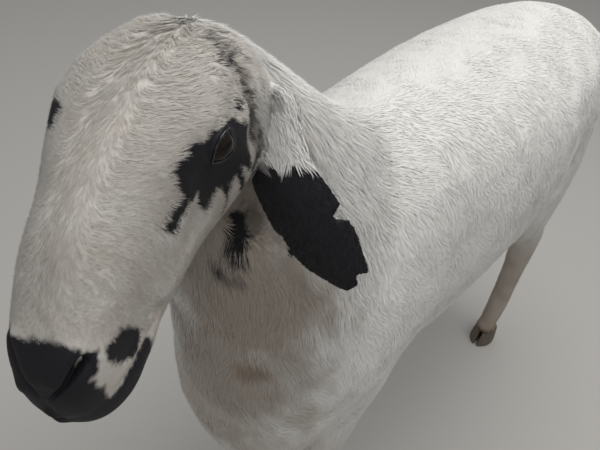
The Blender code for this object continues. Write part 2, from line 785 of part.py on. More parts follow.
def main():
    clear_scene()
    body = fused_body()

    legs = {}
    for side, word in ((LEFT, "left"), (RIGHT, "right")):
        middle, front, back, top = FORE_CUT
        inner, outer = sorted((side * middle, side * 0.300))
        step = FORE_HOOF[side].y + FORE_STEP
        splay = Matrix.Rotation(math.radians(FORE_CUT_SPLAY * side), 4, "Y")
        low, high = (inner, front + step, -0.100), (outer, back + step, top)
        legs["leg_fore_" + word] = split_off(body, "leg_fore_" + word, low, high, splay)
        middle, front, top = HIND_CUT
        inner, outer = sorted((side * middle, side * 0.300))
        low, high = (inner, front, -0.100), (outer, 0.600, top)
        legs["leg_hind_" + word] = split_off(body, "leg_hind_" + word, low, high)

    front, bottom, top = TAIL_CUT
    tail = split_off(body, "tail", (-0.060, front, bottom), (0.060, 0.700, top))

    neck = half_behind(body, "neck", NECK_BASE, NECK_LEAVES)
    tilted = HEAD @ Matrix.Rotation(math.radians(HEAD_CUT_TILT), 4, "Z")
    head = split_off(neck, "head", *HEAD_CUT, tilted)
    body.name = "trunk"

    pieces = [(body, "fleece"), (neck, "fleece"), (head, "face_hair"), (tail, "fleece")]

    for side, word in ((LEFT, "left"), (RIGHT, "right")):
        centre = in_head(EYE_CENTRE.x, EYE_CENTRE.y, side * EYE_CENTRE.z)
        eye = ball("eye_" + word, EYE_RADIUS, centre)
        clear_of(head, eye)
        pieces.append((eye, "eyeball"))

        blade, path, looks = ear(side)
        clear_of(neck, blade)
        if side == LEFT:
            notch_ear(blade, path, looks, side)
        clear_of(blade, head)
        pieces.append((blade, "bare_skin"))

        for place, hooves in (("fore", FORE_HOOF), ("hind", HIND_HOOF)):
            leg = legs["leg_" + place + "_" + word]
            trim_floor(leg, HOOF_HEIGHT - 0.006 + GAP)
            pieces.append((leg, "face_hair"))
            foot = hooves[side]
            for half, label in ((1, "outer"), (-1, "inner")):
                name = "claw_" + place + "_" + word + "_" + label
                pieces.append((claw(name, foot, half * side), "horn"))
                spur = dewclaw(name.replace("claw", "dewclaw"), foot, half * side, DEWCLAW_BEHIND[place])
                clear_of(leg, spur)
                pieces.append((spur, "horn"))

    looks = {
        "fleece": (COAT_WHITE, 0.95),
        "face_hair": (COAT_WHITE, 0.90),
        "bare_skin": (SKIN_BLACK, 0.75),
        "eyeball": (EYE_BROWN, 0.08),
        "horn": (HORN_GREY, 0.55),
    }
    for obj, slot in pieces:
        colour, roughness = looks[slot]
        largest_shell(obj)
        finish(obj, slot, colour, roughness)
    stand_over_origin([obj for obj, _ in pieces])


if __name__ == "__main__":
    main()
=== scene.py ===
# %% [markdown]
# # A shorn Kajli sheep, life size
#
# The solids say where the animal is: how long, how high, where each foot stands and how far
# its coat reaches. This lesson gives them a living surface. It makes one skin for the whole
# body, sinks eyes into it, cuts nostrils and a mouth, and then covers it with some three
# hundred thousand small solid tufts of hair.
#
# Everything is in metres. The sheep faces -Y and its own left side is +X.

# %% Load the frame
import math

import bmesh
import bpy
import numpy as np
from mathutils import Matrix, Vector
from mathutils.bvhtree import BVHTree
from mathutils.kdtree import KDTree


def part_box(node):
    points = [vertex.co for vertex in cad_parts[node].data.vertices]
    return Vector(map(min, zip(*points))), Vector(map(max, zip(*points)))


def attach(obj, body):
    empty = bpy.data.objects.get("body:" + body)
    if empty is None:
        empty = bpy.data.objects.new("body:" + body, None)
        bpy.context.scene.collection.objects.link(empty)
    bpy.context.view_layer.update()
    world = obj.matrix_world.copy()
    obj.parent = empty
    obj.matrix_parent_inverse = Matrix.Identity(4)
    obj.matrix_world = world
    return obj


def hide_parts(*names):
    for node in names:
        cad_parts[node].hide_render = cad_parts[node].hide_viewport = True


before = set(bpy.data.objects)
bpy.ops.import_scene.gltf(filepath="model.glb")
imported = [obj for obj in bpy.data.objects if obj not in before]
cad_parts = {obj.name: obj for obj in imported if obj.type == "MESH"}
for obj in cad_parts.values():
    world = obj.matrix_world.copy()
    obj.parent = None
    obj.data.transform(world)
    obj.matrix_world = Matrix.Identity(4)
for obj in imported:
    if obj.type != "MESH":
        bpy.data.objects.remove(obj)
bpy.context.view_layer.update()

LEFT, RIGHT = 1, -1
SIDES = ((LEFT, "left"), (RIGHT, "right"))
EYES = ["eye_left", "eye_right"]
EARS = ["ear_left", "ear_right"]
FEET = [f"{place}_{word}" for place in ("fore", "hind") for _, word in SIDES]
BODY = ["trunk", "neck", "head", "tail"] + ["leg_" + foot for foot in FEET]
chance = np.random.default_rng(12)

# %% [markdown]
# ## A frame for the head
#
# The head is dipped and turned, so the nose doesn't run along any axis of the world. Working
# out where a nostril goes is easier in a frame that turns with the head: how far forward from
# the poll, how far up, and how far to the sheep's left. The two eyeballs fix its place.

# %% Head frame
HEAD_TURN = math.radians(25.0)  # to the sheep's left
HEAD_DIP = math.radians(27.0)  # nose down
HEAD_LEAN = math.radians(-1.5)  # right side down
EYE_CENTRE = np.array([0.0840, -0.0050, 0.0470])  # forward, up, to one side
EYE_RADIUS = 0.0145


def middle_of(node):
    low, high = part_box(node)
    return (low + high) / 2


head_turned = (
    Matrix.Rotation(HEAD_TURN, 3, "Z")
    @ Matrix.Rotation(HEAD_DIP, 3, "X")
    @ Matrix.Rotation(HEAD_LEAN, 3, "Y")
)
FORWARD = np.array(head_turned @ Vector((0, -1, 0)))
UP = np.array(head_turned @ Vector((0, 0, 1)))
OUT_LEFT = np.array(head_turned @ Vector((1, 0, 0)))
HEAD_AXES = np.array([FORWARD, UP, OUT_LEFT])
between_eyes = np.array((middle_of("eye_left") + middle_of("eye_right")) / 2)
POLL = between_eyes - FORWARD * EYE_CENTRE[0] - UP * EYE_CENTRE[1]


def to_head(points):
    return (np.asarray(points) - POLL) @ HEAD_AXES.T


def from_head(points):
    return np.asarray(points) @ HEAD_AXES + POLL


print("poll at", POLL.round(4))

# %% [markdown]
# ## Small tools for working on many points at once
#
# A skin has a hundred thousand points. Blender's own loops would take minutes over them, and
# numpy takes moments, so points are pulled out of a mesh as one array, changed, and put back.

# %% Arrays in and out of a mesh
def pulled(items, key, width, kind=np.float32):
    """One property of many items, as rows of the given width."""
    flat = np.empty(len(items) * width, kind)
    items.foreach_get(key, flat)
    return flat.reshape(-1, width)


def points_of(mesh):
    return pulled(mesh.vertices, "co", 3).astype(float)


def normals_of(mesh):
    return pulled(mesh.vertices, "normal", 3).astype(float)


def edges_of(mesh):
    return pulled(mesh.edges, "vertices", 2, np.int32)


def put_points(mesh, points):
    mesh.vertices.foreach_set("co", np.asarray(points, np.float32).ravel())
    mesh.update()


def unit(vectors):
    length = np.linalg.norm(vectors, axis=-1, keepdims=True)
    return vectors / np.maximum(length, 1e-12)


def ramp(value, low, high):
    """0 below low, 1 above high, and smooth between."""
    t = np.clip((value - low) / (high - low), 0.0, 1.0)
    return t * t * (3 - 2 * t)


def relax(values, edges, share, times):
    """Moves each point's value toward the mean of its neighbours."""
    values = np.array(values, float)
    flat = values.reshape(len(values), -1)
    count = np.bincount(edges.ravel(), minlength=len(flat)).astype(float)
    count[count == 0] = 1.0
    share = np.broadcast_to(np.asarray(share, float), (len(flat),))
    for _ in range(times):
        for column in range(flat.shape[1]):
            one = flat[:, column]
            total = np.bincount(edges[:, 0], one[edges[:, 1]], len(flat))
            total += np.bincount(edges[:, 1], one[edges[:, 0]], len(flat))
            flat[:, column] = one + (total / count - one) * share
    return flat.reshape(values.shape)


def evened(points, edges, share, times):
    """Smooths without shrinking: each round is followed by a slightly stronger one outward."""
    for _ in range(times):
        points = relax(points, edges, share, 1)
        points = relax(points, edges, -1.03 * np.asarray(share), 1)
    return points


def path_distance(points, path):
    """How far each point is from a bent line, and where along it its nearest place is, 0 to 1."""
    path = np.asarray(path, float)
    nearest = np.full(len(points), 1e9)
    along = np.zeros(len(points))
    spans = len(path) - 1
    for i in range(spans):
        run = path[i + 1] - path[i]
        t = np.clip((points - path[i]) @ run / (run @ run), 0.0, 1.0)
        away = np.linalg.norm(points - path[i] - t[:, None] * run, axis=1)
        closer = away < nearest
        nearest[closer] = away[closer]
        along[closer] = (i + t[closer]) / spans
    return nearest, along


def ripple(points, size, seed):
    """A smooth random field between about -1 and 1 that changes over the given size."""
    waves = np.random.default_rng(seed)
    total = np.zeros(len(points))
    for _ in range(7):
        way = unit(waves.normal(size=3)) * (2 * math.pi / size) * waves.uniform(0.6, 1.5)
        total += np.sin(points @ way + waves.uniform(0, 2 * math.pi))
    return np.clip(total / 3.2, -1, 1)


def new_object(name, mesh):
    obj = bpy.data.objects.new(name, mesh)
    bpy.context.scene.collection.objects.link(obj)
    return obj


def drop(obj):
    bpy.data.objects.remove(obj)


def edited(mesh, change):
    """Changes a mesh through a bmesh."""
    shape = bmesh.new()
    shape.from_mesh(mesh)
    change(shape)
    shape.to_mesh(mesh)
    shape.free()


def triangulate(shape):
    bmesh.ops.triangulate(shape, faces=shape.faces)


def as_seen(obj):
    """The object's mesh with its modifiers worked in."""
    graph = bpy.context.evaluated_depsgraph_get()
    return bpy.data.meshes.new_from_object(obj.evaluated_get(graph))


print("tools ready")

# %% [markdown]
# ## One skin for the whole body
#
# The solids are parted by cuts a third of a millimetre wide, as a museum maker parts a cast.
# A real sheep has no such cuts. Each piece is swollen a little, so that neighbours overlap,
# and a voxel remesh turns the heap into a single closed surface of even small faces. It also
# fills the sockets, as the eyeballs are put in with the flesh. The ears are left out of this
# step, because a blade six millimetres thick needs finer voxels than a flank.

# %% Join and remesh the flesh
SWELL = 0.0006
BODY_VOXEL = 0.0064
EAR_VOXEL = 0.0016


def heap_of(names, swell):
    """Vertices and faces of several solids, each grown a little, and each face's solid."""
    vertices, faces, owner = [], [], []
    for name in names:
        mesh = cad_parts[name].data
        start = sum(len(v) for v in vertices)
        vertices.append(points_of(mesh) + normals_of(mesh) * swell)
        for face in mesh.polygons:
            faces.append([start + v for v in face.vertices])
            owner.append(name)
    return np.concatenate(vertices), faces, owner


def remeshed(name, names, voxel):
    vertices, faces, _ = heap_of(names, SWELL)
    rough = bpy.data.meshes.new(name)
    rough.from_pydata(vertices.tolist(), [], faces)
    obj = new_object(name, rough)
    step = obj.modifiers.new("Remesh", "REMESH")
    step.mode = "VOXEL"
    step.voxel_size = voxel
    fine = as_seen(obj)
    obj.modifiers.clear()
    obj.data = fine
    return obj


skin = remeshed("skin", BODY + EYES, BODY_VOXEL)
print("body of", len(skin.data.polygons), "faces")

# %% [markdown]
# ## Which part of the animal a point belongs to
#
# Length, lie and depth of the coat differ from part to part. The nearest face of the solids
# says which part a point of the skin is on. The answer jumps at each cut, so it is spread
# over the neighbouring points, and a part then fades softly into the next.

# %% Parts
all_points, all_faces, face_owner = heap_of(BODY + EARS, 0.0)
solids_tree = BVHTree.FromPolygons(all_points.tolist(), all_faces)
PARTS = ("trunk", "neck", "head", "tail", "leg", "ear")
owner_part = np.array([PARTS.index(name.split("_")[0]) for name in face_owner])


def parts_at(points, edges, spread):
    """For each part, how much each point belongs to it, from 0 to 1."""
    nearest = np.array([solids_tree.find_nearest(p)[2] for p in points])
    shares = np.eye(len(PARTS))[owner_part[nearest]]
    shares = relax(shares, edges, 0.5, spread)
    return {part: shares[:, i] for i, part in enumerate(PARTS)}


# %% Smooth the facets away
def smoothed(obj):
    points, edges = points_of(obj.data), edges_of(obj.data)
    part = parts_at(points, edges, 6)
    bulky = np.clip(part["trunk"] + part["neck"] * 0.9 + part["head"] * 0.3, 0, 1)
    points = relax(points, edges, 0.45 * bulky, 10)
    points = evened(points, edges, 0.05 + 0.45 * (1 - bulky), 12)
    put_points(obj.data, points)


smoothed(skin)
print("facets smoothed")

# %% [markdown]
# ## Finer faces where the face is
#
# Six millimetre faces are right for a flank, but a lid or a nostril is smaller than that.
# Faces of the head are split once, those round the eyes, nostrils and lips a second time,
# and the nearest of those a third.

# %% Split faces on the head
MOUTH = [
    (0.194, -0.050, 0.0385),
    (0.212, -0.053, 0.0350),
    (0.232, -0.053, 0.0285),
    (0.248, -0.054, 0.0190),
    (0.262, -0.057, 0.0),
]
NOSTRIL = [
    (0.2345, -0.0115, 0.0225),
    (0.2400, -0.0150, 0.0190),
    (0.2480, -0.0210, 0.0140),
    (0.2570, -0.0310, 0.0045),
]


def on_side(path, side):
    """A place or path of the left side, on the given side."""
    return np.array(path) * np.array([1, 1, side])


def fine_zone(points):
    """How far each point of the head is outside the zones that need fine faces."""
    outside = np.full(len(points), 1e9)
    for side, _ in SIDES:
        eye = on_side(EYE_CENTRE, side)
        outside = np.minimum(outside, np.linalg.norm(points - eye, axis=1) - 0.025)
        outside = np.minimum(outside, path_distance(points, on_side(MOUTH, side))[0] - 0.007)
        outside = np.minimum(outside, path_distance(points, on_side(NOSTRIL, side))[0] - 0.009)
    return outside


def split_faces(mesh, chosen):
    """Splits the faces whose points are all chosen, in two each way."""

    def split(shape):
        triangulate(shape)
        edges = [e for e in shape.edges if chosen[e.verts[0].index] and chosen[e.verts[1].index]]
        bmesh.ops.subdivide_edges(shape, edges=edges, cuts=1, use_grid_fill=True)
        triangulate(shape)

    edited(mesh, split)


def is_head(points):
    place = to_head(points)
    return (place[:, 0] > -0.035) & (np.abs(place[:, 2]) < 0.085) & (place[:, 1] > -0.165)


split_faces(skin.data, is_head(points_of(skin.data)))
split_faces(skin.data, fine_zone(to_head(points_of(skin.data))) < 0)
split_faces(skin.data, fine_zone(to_head(points_of(skin.data))) < -0.004)
skin_points, skin_edges = points_of(skin.data), edges_of(skin.data)
skin_points = evened(skin_points, skin_edges, 0.45 * is_head(skin_points), 8)
put_points(skin.data, skin_points)
print("skin of", len(skin.data.polygons), "faces")

# %% [markdown]
# ## Ears
#
# A Kajli's ear is a long thin leaf that hangs from low behind the eye. It is remeshed on its
# own with fine voxels, so that the notches in it stay sharp, and its root is drawn into
# the head. A Boolean union then makes head and ears one surface.

# %% Ear blades
EAR_INTO_HEAD = 0.013
EAR_ROOT_LENGTH = 0.030


def ear_axis(side_word):
    """Root, tip and direction of an ear, from the shape of its solid."""
    points = points_of(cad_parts["ear_" + side_word].data)
    reach = np.linalg.norm(points - POLL, axis=1)
    tip = points[reach.argmax()]
    root = points[np.argsort(np.linalg.norm(points - tip, axis=1))[-12:]].mean(0)
    return root, tip, unit(tip - root)


def ear_blade(side, word):
    obj = remeshed("ear_blade_" + word, ["ear_" + word], EAR_VOXEL)
    points, edges = points_of(obj.data), edges_of(obj.data)
    points = relax(points, edges, 0.5, 9)
    root, _, _ = ear_axis(word)
    inside = from_head((-0.004, -0.050, side * 0.010))
    near = 1 - ramp(np.linalg.norm(points - root, axis=1), 0.004, EAR_ROOT_LENGTH)
    points += unit(inside - root) * (near * EAR_INTO_HEAD)[:, None]
    put_points(obj.data, points)
    return obj


blades = [ear_blade(side, word) for side, word in SIDES]
print("ears of", [len(blade.data.polygons) for blade in blades], "faces")

# %% [markdown]
# The union leaves a sharp crease where each ear enters the head. A few rounds of relaxing
# there blend the two as skin does. Then every point is drawn in by the depth of its coat:
# the solids reach the tips of the hair, and skin lies under it.

# %% Unite, then sink the skin under the coat
def unite(base, others):
    for other in others:
        step = base.modifiers.new("Unite", "BOOLEAN")
        step.operation = "UNION"
        step.solver = "MANIFOLD"
        step.object = other
        mesh = as_seen(base)
        base.modifiers.clear()
        base.data = mesh
        drop(other)


unite(skin, blades)
skin_points, skin_edges = points_of(skin.data), edges_of(skin.data)
skin_part = parts_at(skin_points, skin_edges, 10)
ear_axes = {side: ear_axis(word) for side, word in SIDES}
DEWCLAW_TOUCH = 0.003  # how near skin and dewclaw are drawn, from the dewclaw's middle


def dewclaws_of(foot):
    """The middles of a foot's two dewclaws."""
    names = [f"dewclaw_{foot}_{which}" for which in ("outer", "inner")]
    return [points_of(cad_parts[name].data).mean(0) for name in names]


def along_ear(points):
    """0 at the root of the nearer ear and 1 at its tip, and that ear's side."""
    side = np.where(to_head(points)[:, 2] > 0, LEFT, RIGHT)
    t = np.zeros(len(points))
    for one, (root, tip, axis) in ear_axes.items():
        here = side == one
        t[here] = (points[here] - root) @ axis / np.linalg.norm(tip - root)
    return np.clip(t, 0.0, 1.0), side


def muzzle_share(points):
    """1 on the bare nose and lips, 0 from the middle of the face back."""
    place = to_head(points)
    return ramp(place[:, 0], 0.205, 0.240) * ramp(place[:, 0] - 0.6 * place[:, 1], 0.20, 0.25)


ear_along, _ = along_ear(skin_points)
depth = (
    skin_part["trunk"] * 0.0034
    + skin_part["neck"] * 0.0048
    + skin_part["head"] * (0.0018 - 0.0024 * muzzle_share(skin_points))
    + skin_part["tail"] * 0.0060
    + skin_part["leg"] * (0.0012 + 0.0040 * ramp(skin_points[:, 2], 0.25, 0.50))
    + skin_part["ear"] * (0.0004 + 0.0016 * (1 - ramp(ear_along, 0.25, 0.42)))
)
depth = relax(depth, skin_edges, 0.5, 8) + SWELL
soft = 0.0005 * ripple(skin_points, 0.070, 11) + 0.0003 * ripple(skin_points, 0.028, 12)
depth = depth - soft * (skin_part["trunk"] + skin_part["neck"])
skin_points = skin_points - normals_of(skin.data) * depth[:, None]
seam = np.minimum(skin_part["ear"], skin_part["head"] + skin_part["neck"]) * 8
skin_points = relax(skin_points, skin_edges, np.clip(seam, 0, 0.5), 40)
for foot in FEET:
    for centre in dewclaws_of(foot):
        toward = centre - skin_points
        away = np.linalg.norm(toward, axis=1)
        pull = np.minimum(0.007 * np.exp(-((away / 0.017) ** 2)), np.maximum(away - DEWCLAW_TOUCH, 0))
        skin_points += unit(toward) * pull[:, None]
put_points(skin.data, skin_points)
print("skin of", len(skin.data.polygons), "faces lies up to", round(float(depth.max()) * 1000, 1), "mm deep")

# %% [markdown]
# ## Lids
#
# A sheep's eye looks sideways. Its opening is an almond, with the front corner lower than the
# back one. The skin round it is laid on a ball a little larger than the eyeball and stops at
# the almond's edge, where it turns in. The edge itself is a rim of wet black skin, made as a
# thin tube along the almond, because a rim that thin would be ragged in a skin of flat faces.

# %% Almond opening
LID_THICKNESS = 0.0014
LID_REACH = 0.0100  # how far from the opening the lids follow the eyeball
EYE_LOOKS = unit(np.array([0.30, 0.26, 0.92]))  # forward, up, out
EYE_SLANT = math.radians(16.0)  # front corner down
OPEN_LONG = math.radians(56.0)
OPEN_UP = math.radians(33.0)
OPEN_DOWN = math.radians(31.0)


def eye_axes(side):
    """In the head's frame: the way an eye looks, its opening's way to the front, and up."""
    looks = on_side(EYE_LOOKS, side)
    front = np.array([math.cos(EYE_SLANT), -math.sin(EYE_SLANT), 0.0])
    front = unit(front - looks * (front @ looks))
    lift = np.cross(looks, front)
    lift = lift * np.sign(lift[1])
    return looks, front, lift


def almond_height(across):
    """Upper and lower edge of the opening, as angles, at an angle to the front."""
    share = np.clip(np.abs(across) / OPEN_LONG, 0, 1)
    return OPEN_UP * (1 - share**2.2) ** 0.9, -OPEN_DOWN * (1 - share**2.0) ** 1.1


def eye_angles(points, side):
    """Angles to the front and up as seen from the eyeball's centre, and the distance from it."""
    looks, front, lift = eye_axes(side)
    offset = points - on_side(EYE_CENTRE, side)
    away = np.linalg.norm(offset, axis=1)
    direction = offset / np.maximum(away, 1e-9)[:, None]
    across = np.arctan2(direction @ front, direction @ looks)
    upward = np.arctan2(direction @ lift, np.hypot(direction @ looks, direction @ front))
    return across, upward, away, direction


def outside_opening(across, upward):
    """Distance along the eyeball to the edge of the opening, negative inside it."""
    top, bottom = almond_height(across)
    over = np.maximum(upward - top, bottom - upward)
    beyond = np.abs(across) - OPEN_LONG
    return np.where(beyond > 0, np.hypot(np.maximum(over, 0), beyond), over) * EYE_RADIUS


def around_eye(place, side):
    """Distance past the opening's edge and from the ball's middle, direction, and how far it faces out."""
    across, upward, away, direction = eye_angles(place, side)
    return outside_opening(across, upward), away, direction, direction @ eye_axes(side)[0]


def lay_lids(place):
    for side, _ in SIDES:
        gap, away, direction, faces_out = around_eye(place, side)
        near = (faces_out > 0.05) & (away < 0.034)
        bulge = EYE_RADIUS + LID_THICKNESS
        inner = EYE_RADIUS - 0.0030
        target = inner + (bulge - inner) * ramp(gap, -0.0003, 0.0012)
        follow = np.where(near, 1 - ramp(gap, 0.0015, LID_REACH), 0.0)
        place += direction * ((target - away) * follow)[:, None]
    return place


def round_eyes(place):
    """1 in a ring of skin round each opening, but not at its edge."""
    ring = np.zeros(len(place))
    for side, _ in SIDES:
        gap, away, _, faces_out = around_eye(place, side)
        here = (faces_out > 0) & (away < 0.036)
        ring = np.maximum(ring, here * ramp(gap, 0.0025, 0.0060) * (1 - ramp(gap, 0.016, 0.022)))
    return ring


print("lid opening of", round(2 * OPEN_LONG * EYE_RADIUS * 1000, 1), "mm")

# %% [markdown]
# ## Nostrils, mouth and the folds of the face
#
# These are strokes, as a sculptor would make them: each has a path, a width and a depth, and
# pushes the skin in or raises it along that path. A nostril is a comma, wide at its outer
# end, over which the wing of the nose rises. The upper lip overhangs the lower.

# %% Strokes on the face
def varied(along, values):
    """A value that runs through the given ones, evenly spaced, from one end of a path to the other."""
    values = np.atleast_1d(values)
    return np.interp(along, np.linspace(0, 1, len(values)), values)


def stroke(place, outward, path, width, depth_in):
    """Pushes points in along a path, or out where the depth is negative. Both may change along it."""
    away, along = path_distance(place, path)
    wide, deep = varied(along, width), varied(along, depth_in)
    return place - outward * (deep * np.exp(-((away / wide) ** 2)))[:, None]


def lifted(path, by):
    return np.array(path) + np.array([0.0, by, 0.0])


FACE_STROKES = (  # path on the left side, width, depth
    # the wing of the nose
    ([(0.232, -0.004, 0.0190), (0.242, -0.0095, 0.0150), (0.252, -0.0185, 0.0085)], 0.0050, -0.0022),
    # below the wing
    ([(0.230, -0.019, 0.0265), (0.240, -0.026, 0.0225), (0.250, -0.033, 0.0140)], 0.0045, -0.0016),
    (lifted(MOUTH, 0.0055), 0.0042, -0.0016),  # edge of the upper lip
    (lifted(MOUTH, -0.0065), 0.0050, -0.0018),  # lower lip
    ([(0.206, -0.070, 0.034), (0.232, -0.073, 0.026), (0.250, -0.073, 0.010)], 0.0120, -0.0022),  # chin
    ([(0.108, -0.018, 0.053), (0.124, -0.028, 0.050), (0.142, -0.038, 0.046)], 0.0060, 0.0016),  # tear groove
    ([(0.112, 0.004, 0.047), (0.098, 0.0185, 0.0455), (0.082, 0.0180, 0.0500)], 0.0050, -0.0022),  # brow
    ([(0.118, -0.050, 0.052), (0.150, -0.048, 0.047), (0.176, -0.046, 0.042)], 0.0090, -0.0018),  # crest
    ([(0.060, -0.098, 0.055), (0.110, -0.092, 0.048), (0.160, -0.080, 0.038)], 0.0120, -0.0016),  # jawbone
    ([(0.186, -0.046, 0.041), (0.178, -0.052, 0.042)], 0.0045, 0.0014),  # fold behind the mouth
    ([(0.050, 0.002, 0.056), (0.034, -0.008, 0.058)], 0.0110, 0.0030),  # temple
    (  # the groove before the ear
        [(0.022, -0.002, 0.052), (0.036, -0.016, 0.057), (0.046, -0.040, 0.060)],
        0.0130,
        (0.0040, 0.0065, 0.0050),
    ),
)


MOUTH_CUT = (MOUTH, (0.0013, 0.0017, 0.0017), (0.0018, 0.0046, 0.0036))
NOSTRIL_CUT = (NOSTRIL, (0.0032, 0.0026, 0.0017, 0.0013), (0.0075, 0.0080, 0.0050, 0.0030))
LIP_CLEFT = [(0.2600, -0.034, 0), (0.2620, -0.053, 0)]


def shape_face(obj):
    mesh = obj.data
    points = points_of(mesh)
    head_only = is_head(points) & (skin_part["ear"] < 0.3)
    for side, _ in SIDES:
        mesh.update()
        outward = normals_of(mesh)[head_only] @ HEAD_AXES.T
        place = to_head(points[head_only])
        for path, width, deep in FACE_STROKES:
            place = stroke(place, outward, on_side(path, side), width, deep)
        for path, width, deep in (MOUTH_CUT, NOSTRIL_CUT):
            place = stroke(place, outward, on_side(path, side), width, deep)
        points[head_only] = from_head(place)
        put_points(mesh, points)
    outward = normals_of(mesh)[head_only] @ HEAD_AXES.T
    place = to_head(points[head_only])
    place = stroke(place, outward, LIP_CLEFT, 0.0018, 0.0022)
    place = lay_lids(place)
    points[head_only] = from_head(place)
    share = np.zeros(len(points))
    share[head_only] = 0.5 * round_eyes(place)
    put_points(mesh, relax(points, edges_of(mesh), share, 10))


shape_face(skin)
skin_points = points_of(skin.data)
print("face shaped")

# %% [markdown]
# ## An unwrap of the skin
#
# So that colours can be baked to a picture, every face needs its own place on a flat sheet.
# Smart projection cuts the skin where it bends and lays the pieces out. Each tuft later takes
# the place of its root on this same sheet.

# %% Unwrap
UNWRAP = "OFBake"


def unwrap(obj):
    bpy.ops.object.select_all(action="DESELECT")
    obj.select_set(True)
    bpy.context.view_layer.objects.active = obj
    obj.data.uv_layers.new(name=UNWRAP)
    bpy.ops.object.mode_set(mode="EDIT")
    bpy.ops.mesh.select_all(action="SELECT")
    bpy.ops.uv.smart_project(angle_limit=math.radians(66), island_margin=0.002)
    bpy.ops.object.mode_set(mode="OBJECT")


edited(skin.data, triangulate)
unwrap(skin)
skin.data.shade_smooth()
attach(skin, "root")
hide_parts(*BODY, *EARS)
print("skin unwrapped,", len(skin.data.polygons), "faces")

# %% [markdown]
# ## Markings
#
# The sheep is white with a black patch round each eye, a black nose and chin, a black spot on
# each upper lip, and ears white near the root and black beyond. Each marking is a bent line with a
# thickness, in the head's frame. A slow ripple makes the borders uneven. The skin and every
# tuft ask the same function for their colour, so they agree wherever they meet.

# %% Blots
def blot(points, path, thickness):
    """Signed distance to a bent line with a thickness: negative inside."""
    away, along = path_distance(points, path)
    return away - varied(along, thickness)


EYE_PATCH = (  # forward and up in the head's frame, and thickness
    ([(0.112, 0.003), (0.085, -0.014)], (0.019, 0.023)),
    ([(0.132, -0.004), (0.143, -0.006)], (0.007, 0.008)),
    ([(0.104, -0.020), (0.112, -0.028)], (0.015, 0.009)),
    ([(0.085, -0.020), (0.067, -0.024)], (0.020, 0.013)),
    ([(0.088, -0.032), (0.070, -0.036)], (0.013, 0.012)),
    ([(0.067, -0.024), (0.061, -0.072)], (0.012, 0.003)),
    ([(0.092, -0.046), (0.100, -0.075)], (0.0035, 0.0025)),
    ([(0.078, -0.046), (0.072, -0.082), (0.066, -0.118)], (0.0040, 0.0045, 0.0030)),
    ([(0.217, -0.0265), (0.215, -0.0350)], (0.0115, 0.0115)),
    ([(0.055, 0.000), (0.056, 0.001)], (0.0040, 0.0040)),
)
POLL_STREAK = [  # from the poll down the left side, before the ear
    (0.014, 0.013, 0.018),
    (0.020, 0.014, 0.025),
    (0.028, 0.015, 0.034),
    (0.029, 0.012, 0.040),
    (0.029, 0.008, 0.045),
    (0.030, 0.002, 0.050),
    (0.035, -0.004, 0.052),
    (0.040, -0.010, 0.054),
    (0.043, -0.020, 0.054),
    (0.043, -0.034, 0.054),
    (0.043, -0.050, 0.053),
    (0.045, -0.066, 0.053),
    (0.052, -0.082, 0.054),
]
STREAK_THICKNESS = [0.003, 0.005, 0.008, 0.009, 0.009, 0.008, 0.008, 0.009, 0.010, 0.010, 0.010, 0.010, 0.008]
FAR_PATCH = [(0.096, 0.012, -0.048), (0.111, 0.029, -0.036)]  # the right eye's patch reaches higher
JAW_MARK = [(0.060, -0.130, 0.034), (0.070, -0.146, 0.038), (0.080, -0.155, 0.041), (0.088, -0.162, 0.044)]
GREY_SPOTS = (  # place in the head's frame, radius, darkness
    ((0.070, -0.146, 0.050), 0.014, 0.55),
    ((0.012, -0.046, 0.064), 0.009, 0.50),
    ((0.192, -0.068, 0.038), 0.003, 0.90),
    ((0.120, -0.035, 0.050), 0.004, 0.50),
    ((0.097, -0.173, 0.023), 0.0095, 0.90),
    ((0.103, -0.179, 0.031), 0.0085, 0.50),
    ((0.105, -0.179, 0.041), 0.0085, 0.45),
)
NOSE_BORDER_UP = (-0.050, -0.042, -0.031, -0.024, -0.0185, -0.013, -0.005, 0.000)
NOSE_BORDER_FORWARD = (0.2440, 0.2435, 0.2425, 0.2395, 0.2345, 0.2305, 0.2290, 0.2295)
LIP_LINE_FORWARD = (0.190, 0.212, 0.232, 0.248, 0.262)
LIP_LINE_UP = (-0.0500, -0.0530, -0.0530, -0.0540, -0.0570)
EAR_BORDER = 0.390  # share of the ear's length that is white, along its middle
EAR_BORDER_TILT = 2.0  # how much less it is toward the cheek, to the metre
EAR_ACROSS = unit(np.array([0.54, -0.14, -0.84]))  # across an ear, toward the cheek, on the left
# Soil and painted shade: the small spots are brown dirt, and the wide soft blots on the neck and chest are
# painted shade under the head, with some dirt. The blots on the hind legs, tail and belly make them darker
# and browner.
SOIL_AND_SHADE = (  # place in the world, radius, strength
    ((0.058, -0.382, 0.617), 0.022, 0.95),
    ((0.010, -0.396, 0.606), 0.010, 0.60),
    ((0.050, -0.380, 0.700), 0.085, 0.74),
    ((0.020, -0.390, 0.750), 0.080, 0.72),
    ((0.030, -0.400, 0.600), 0.100, 0.66),
    ((0.000, -0.400, 0.500), 0.100, 0.56),
    ((0.100, -0.343, 0.531), 0.035, 0.45),
    ((0.085, -0.330, 0.440), 0.060, 0.30),
    ((0.090, 0.330, 0.300), 0.120, 0.45),
    ((-0.090, 0.330, 0.300), 0.120, 0.45),
    ((0.000, 0.470, 0.500), 0.080, 0.30),
    ((0.000, 0.100, 0.440), 0.170, 0.50),
)


def ear_root(place):
    """How much each place on the head belongs to the hair round an ear's root."""
    beside = ramp(np.abs(place[:, 2]), 0.052, 0.060)
    along = ramp(place[:, 0], -0.030, -0.010) * (1 - ramp(place[:, 0], 0.034, 0.044))
    return beside * along * ramp(place[:, 1], -0.085, -0.065) * (1 - ramp(place[:, 1], -0.020, -0.008))


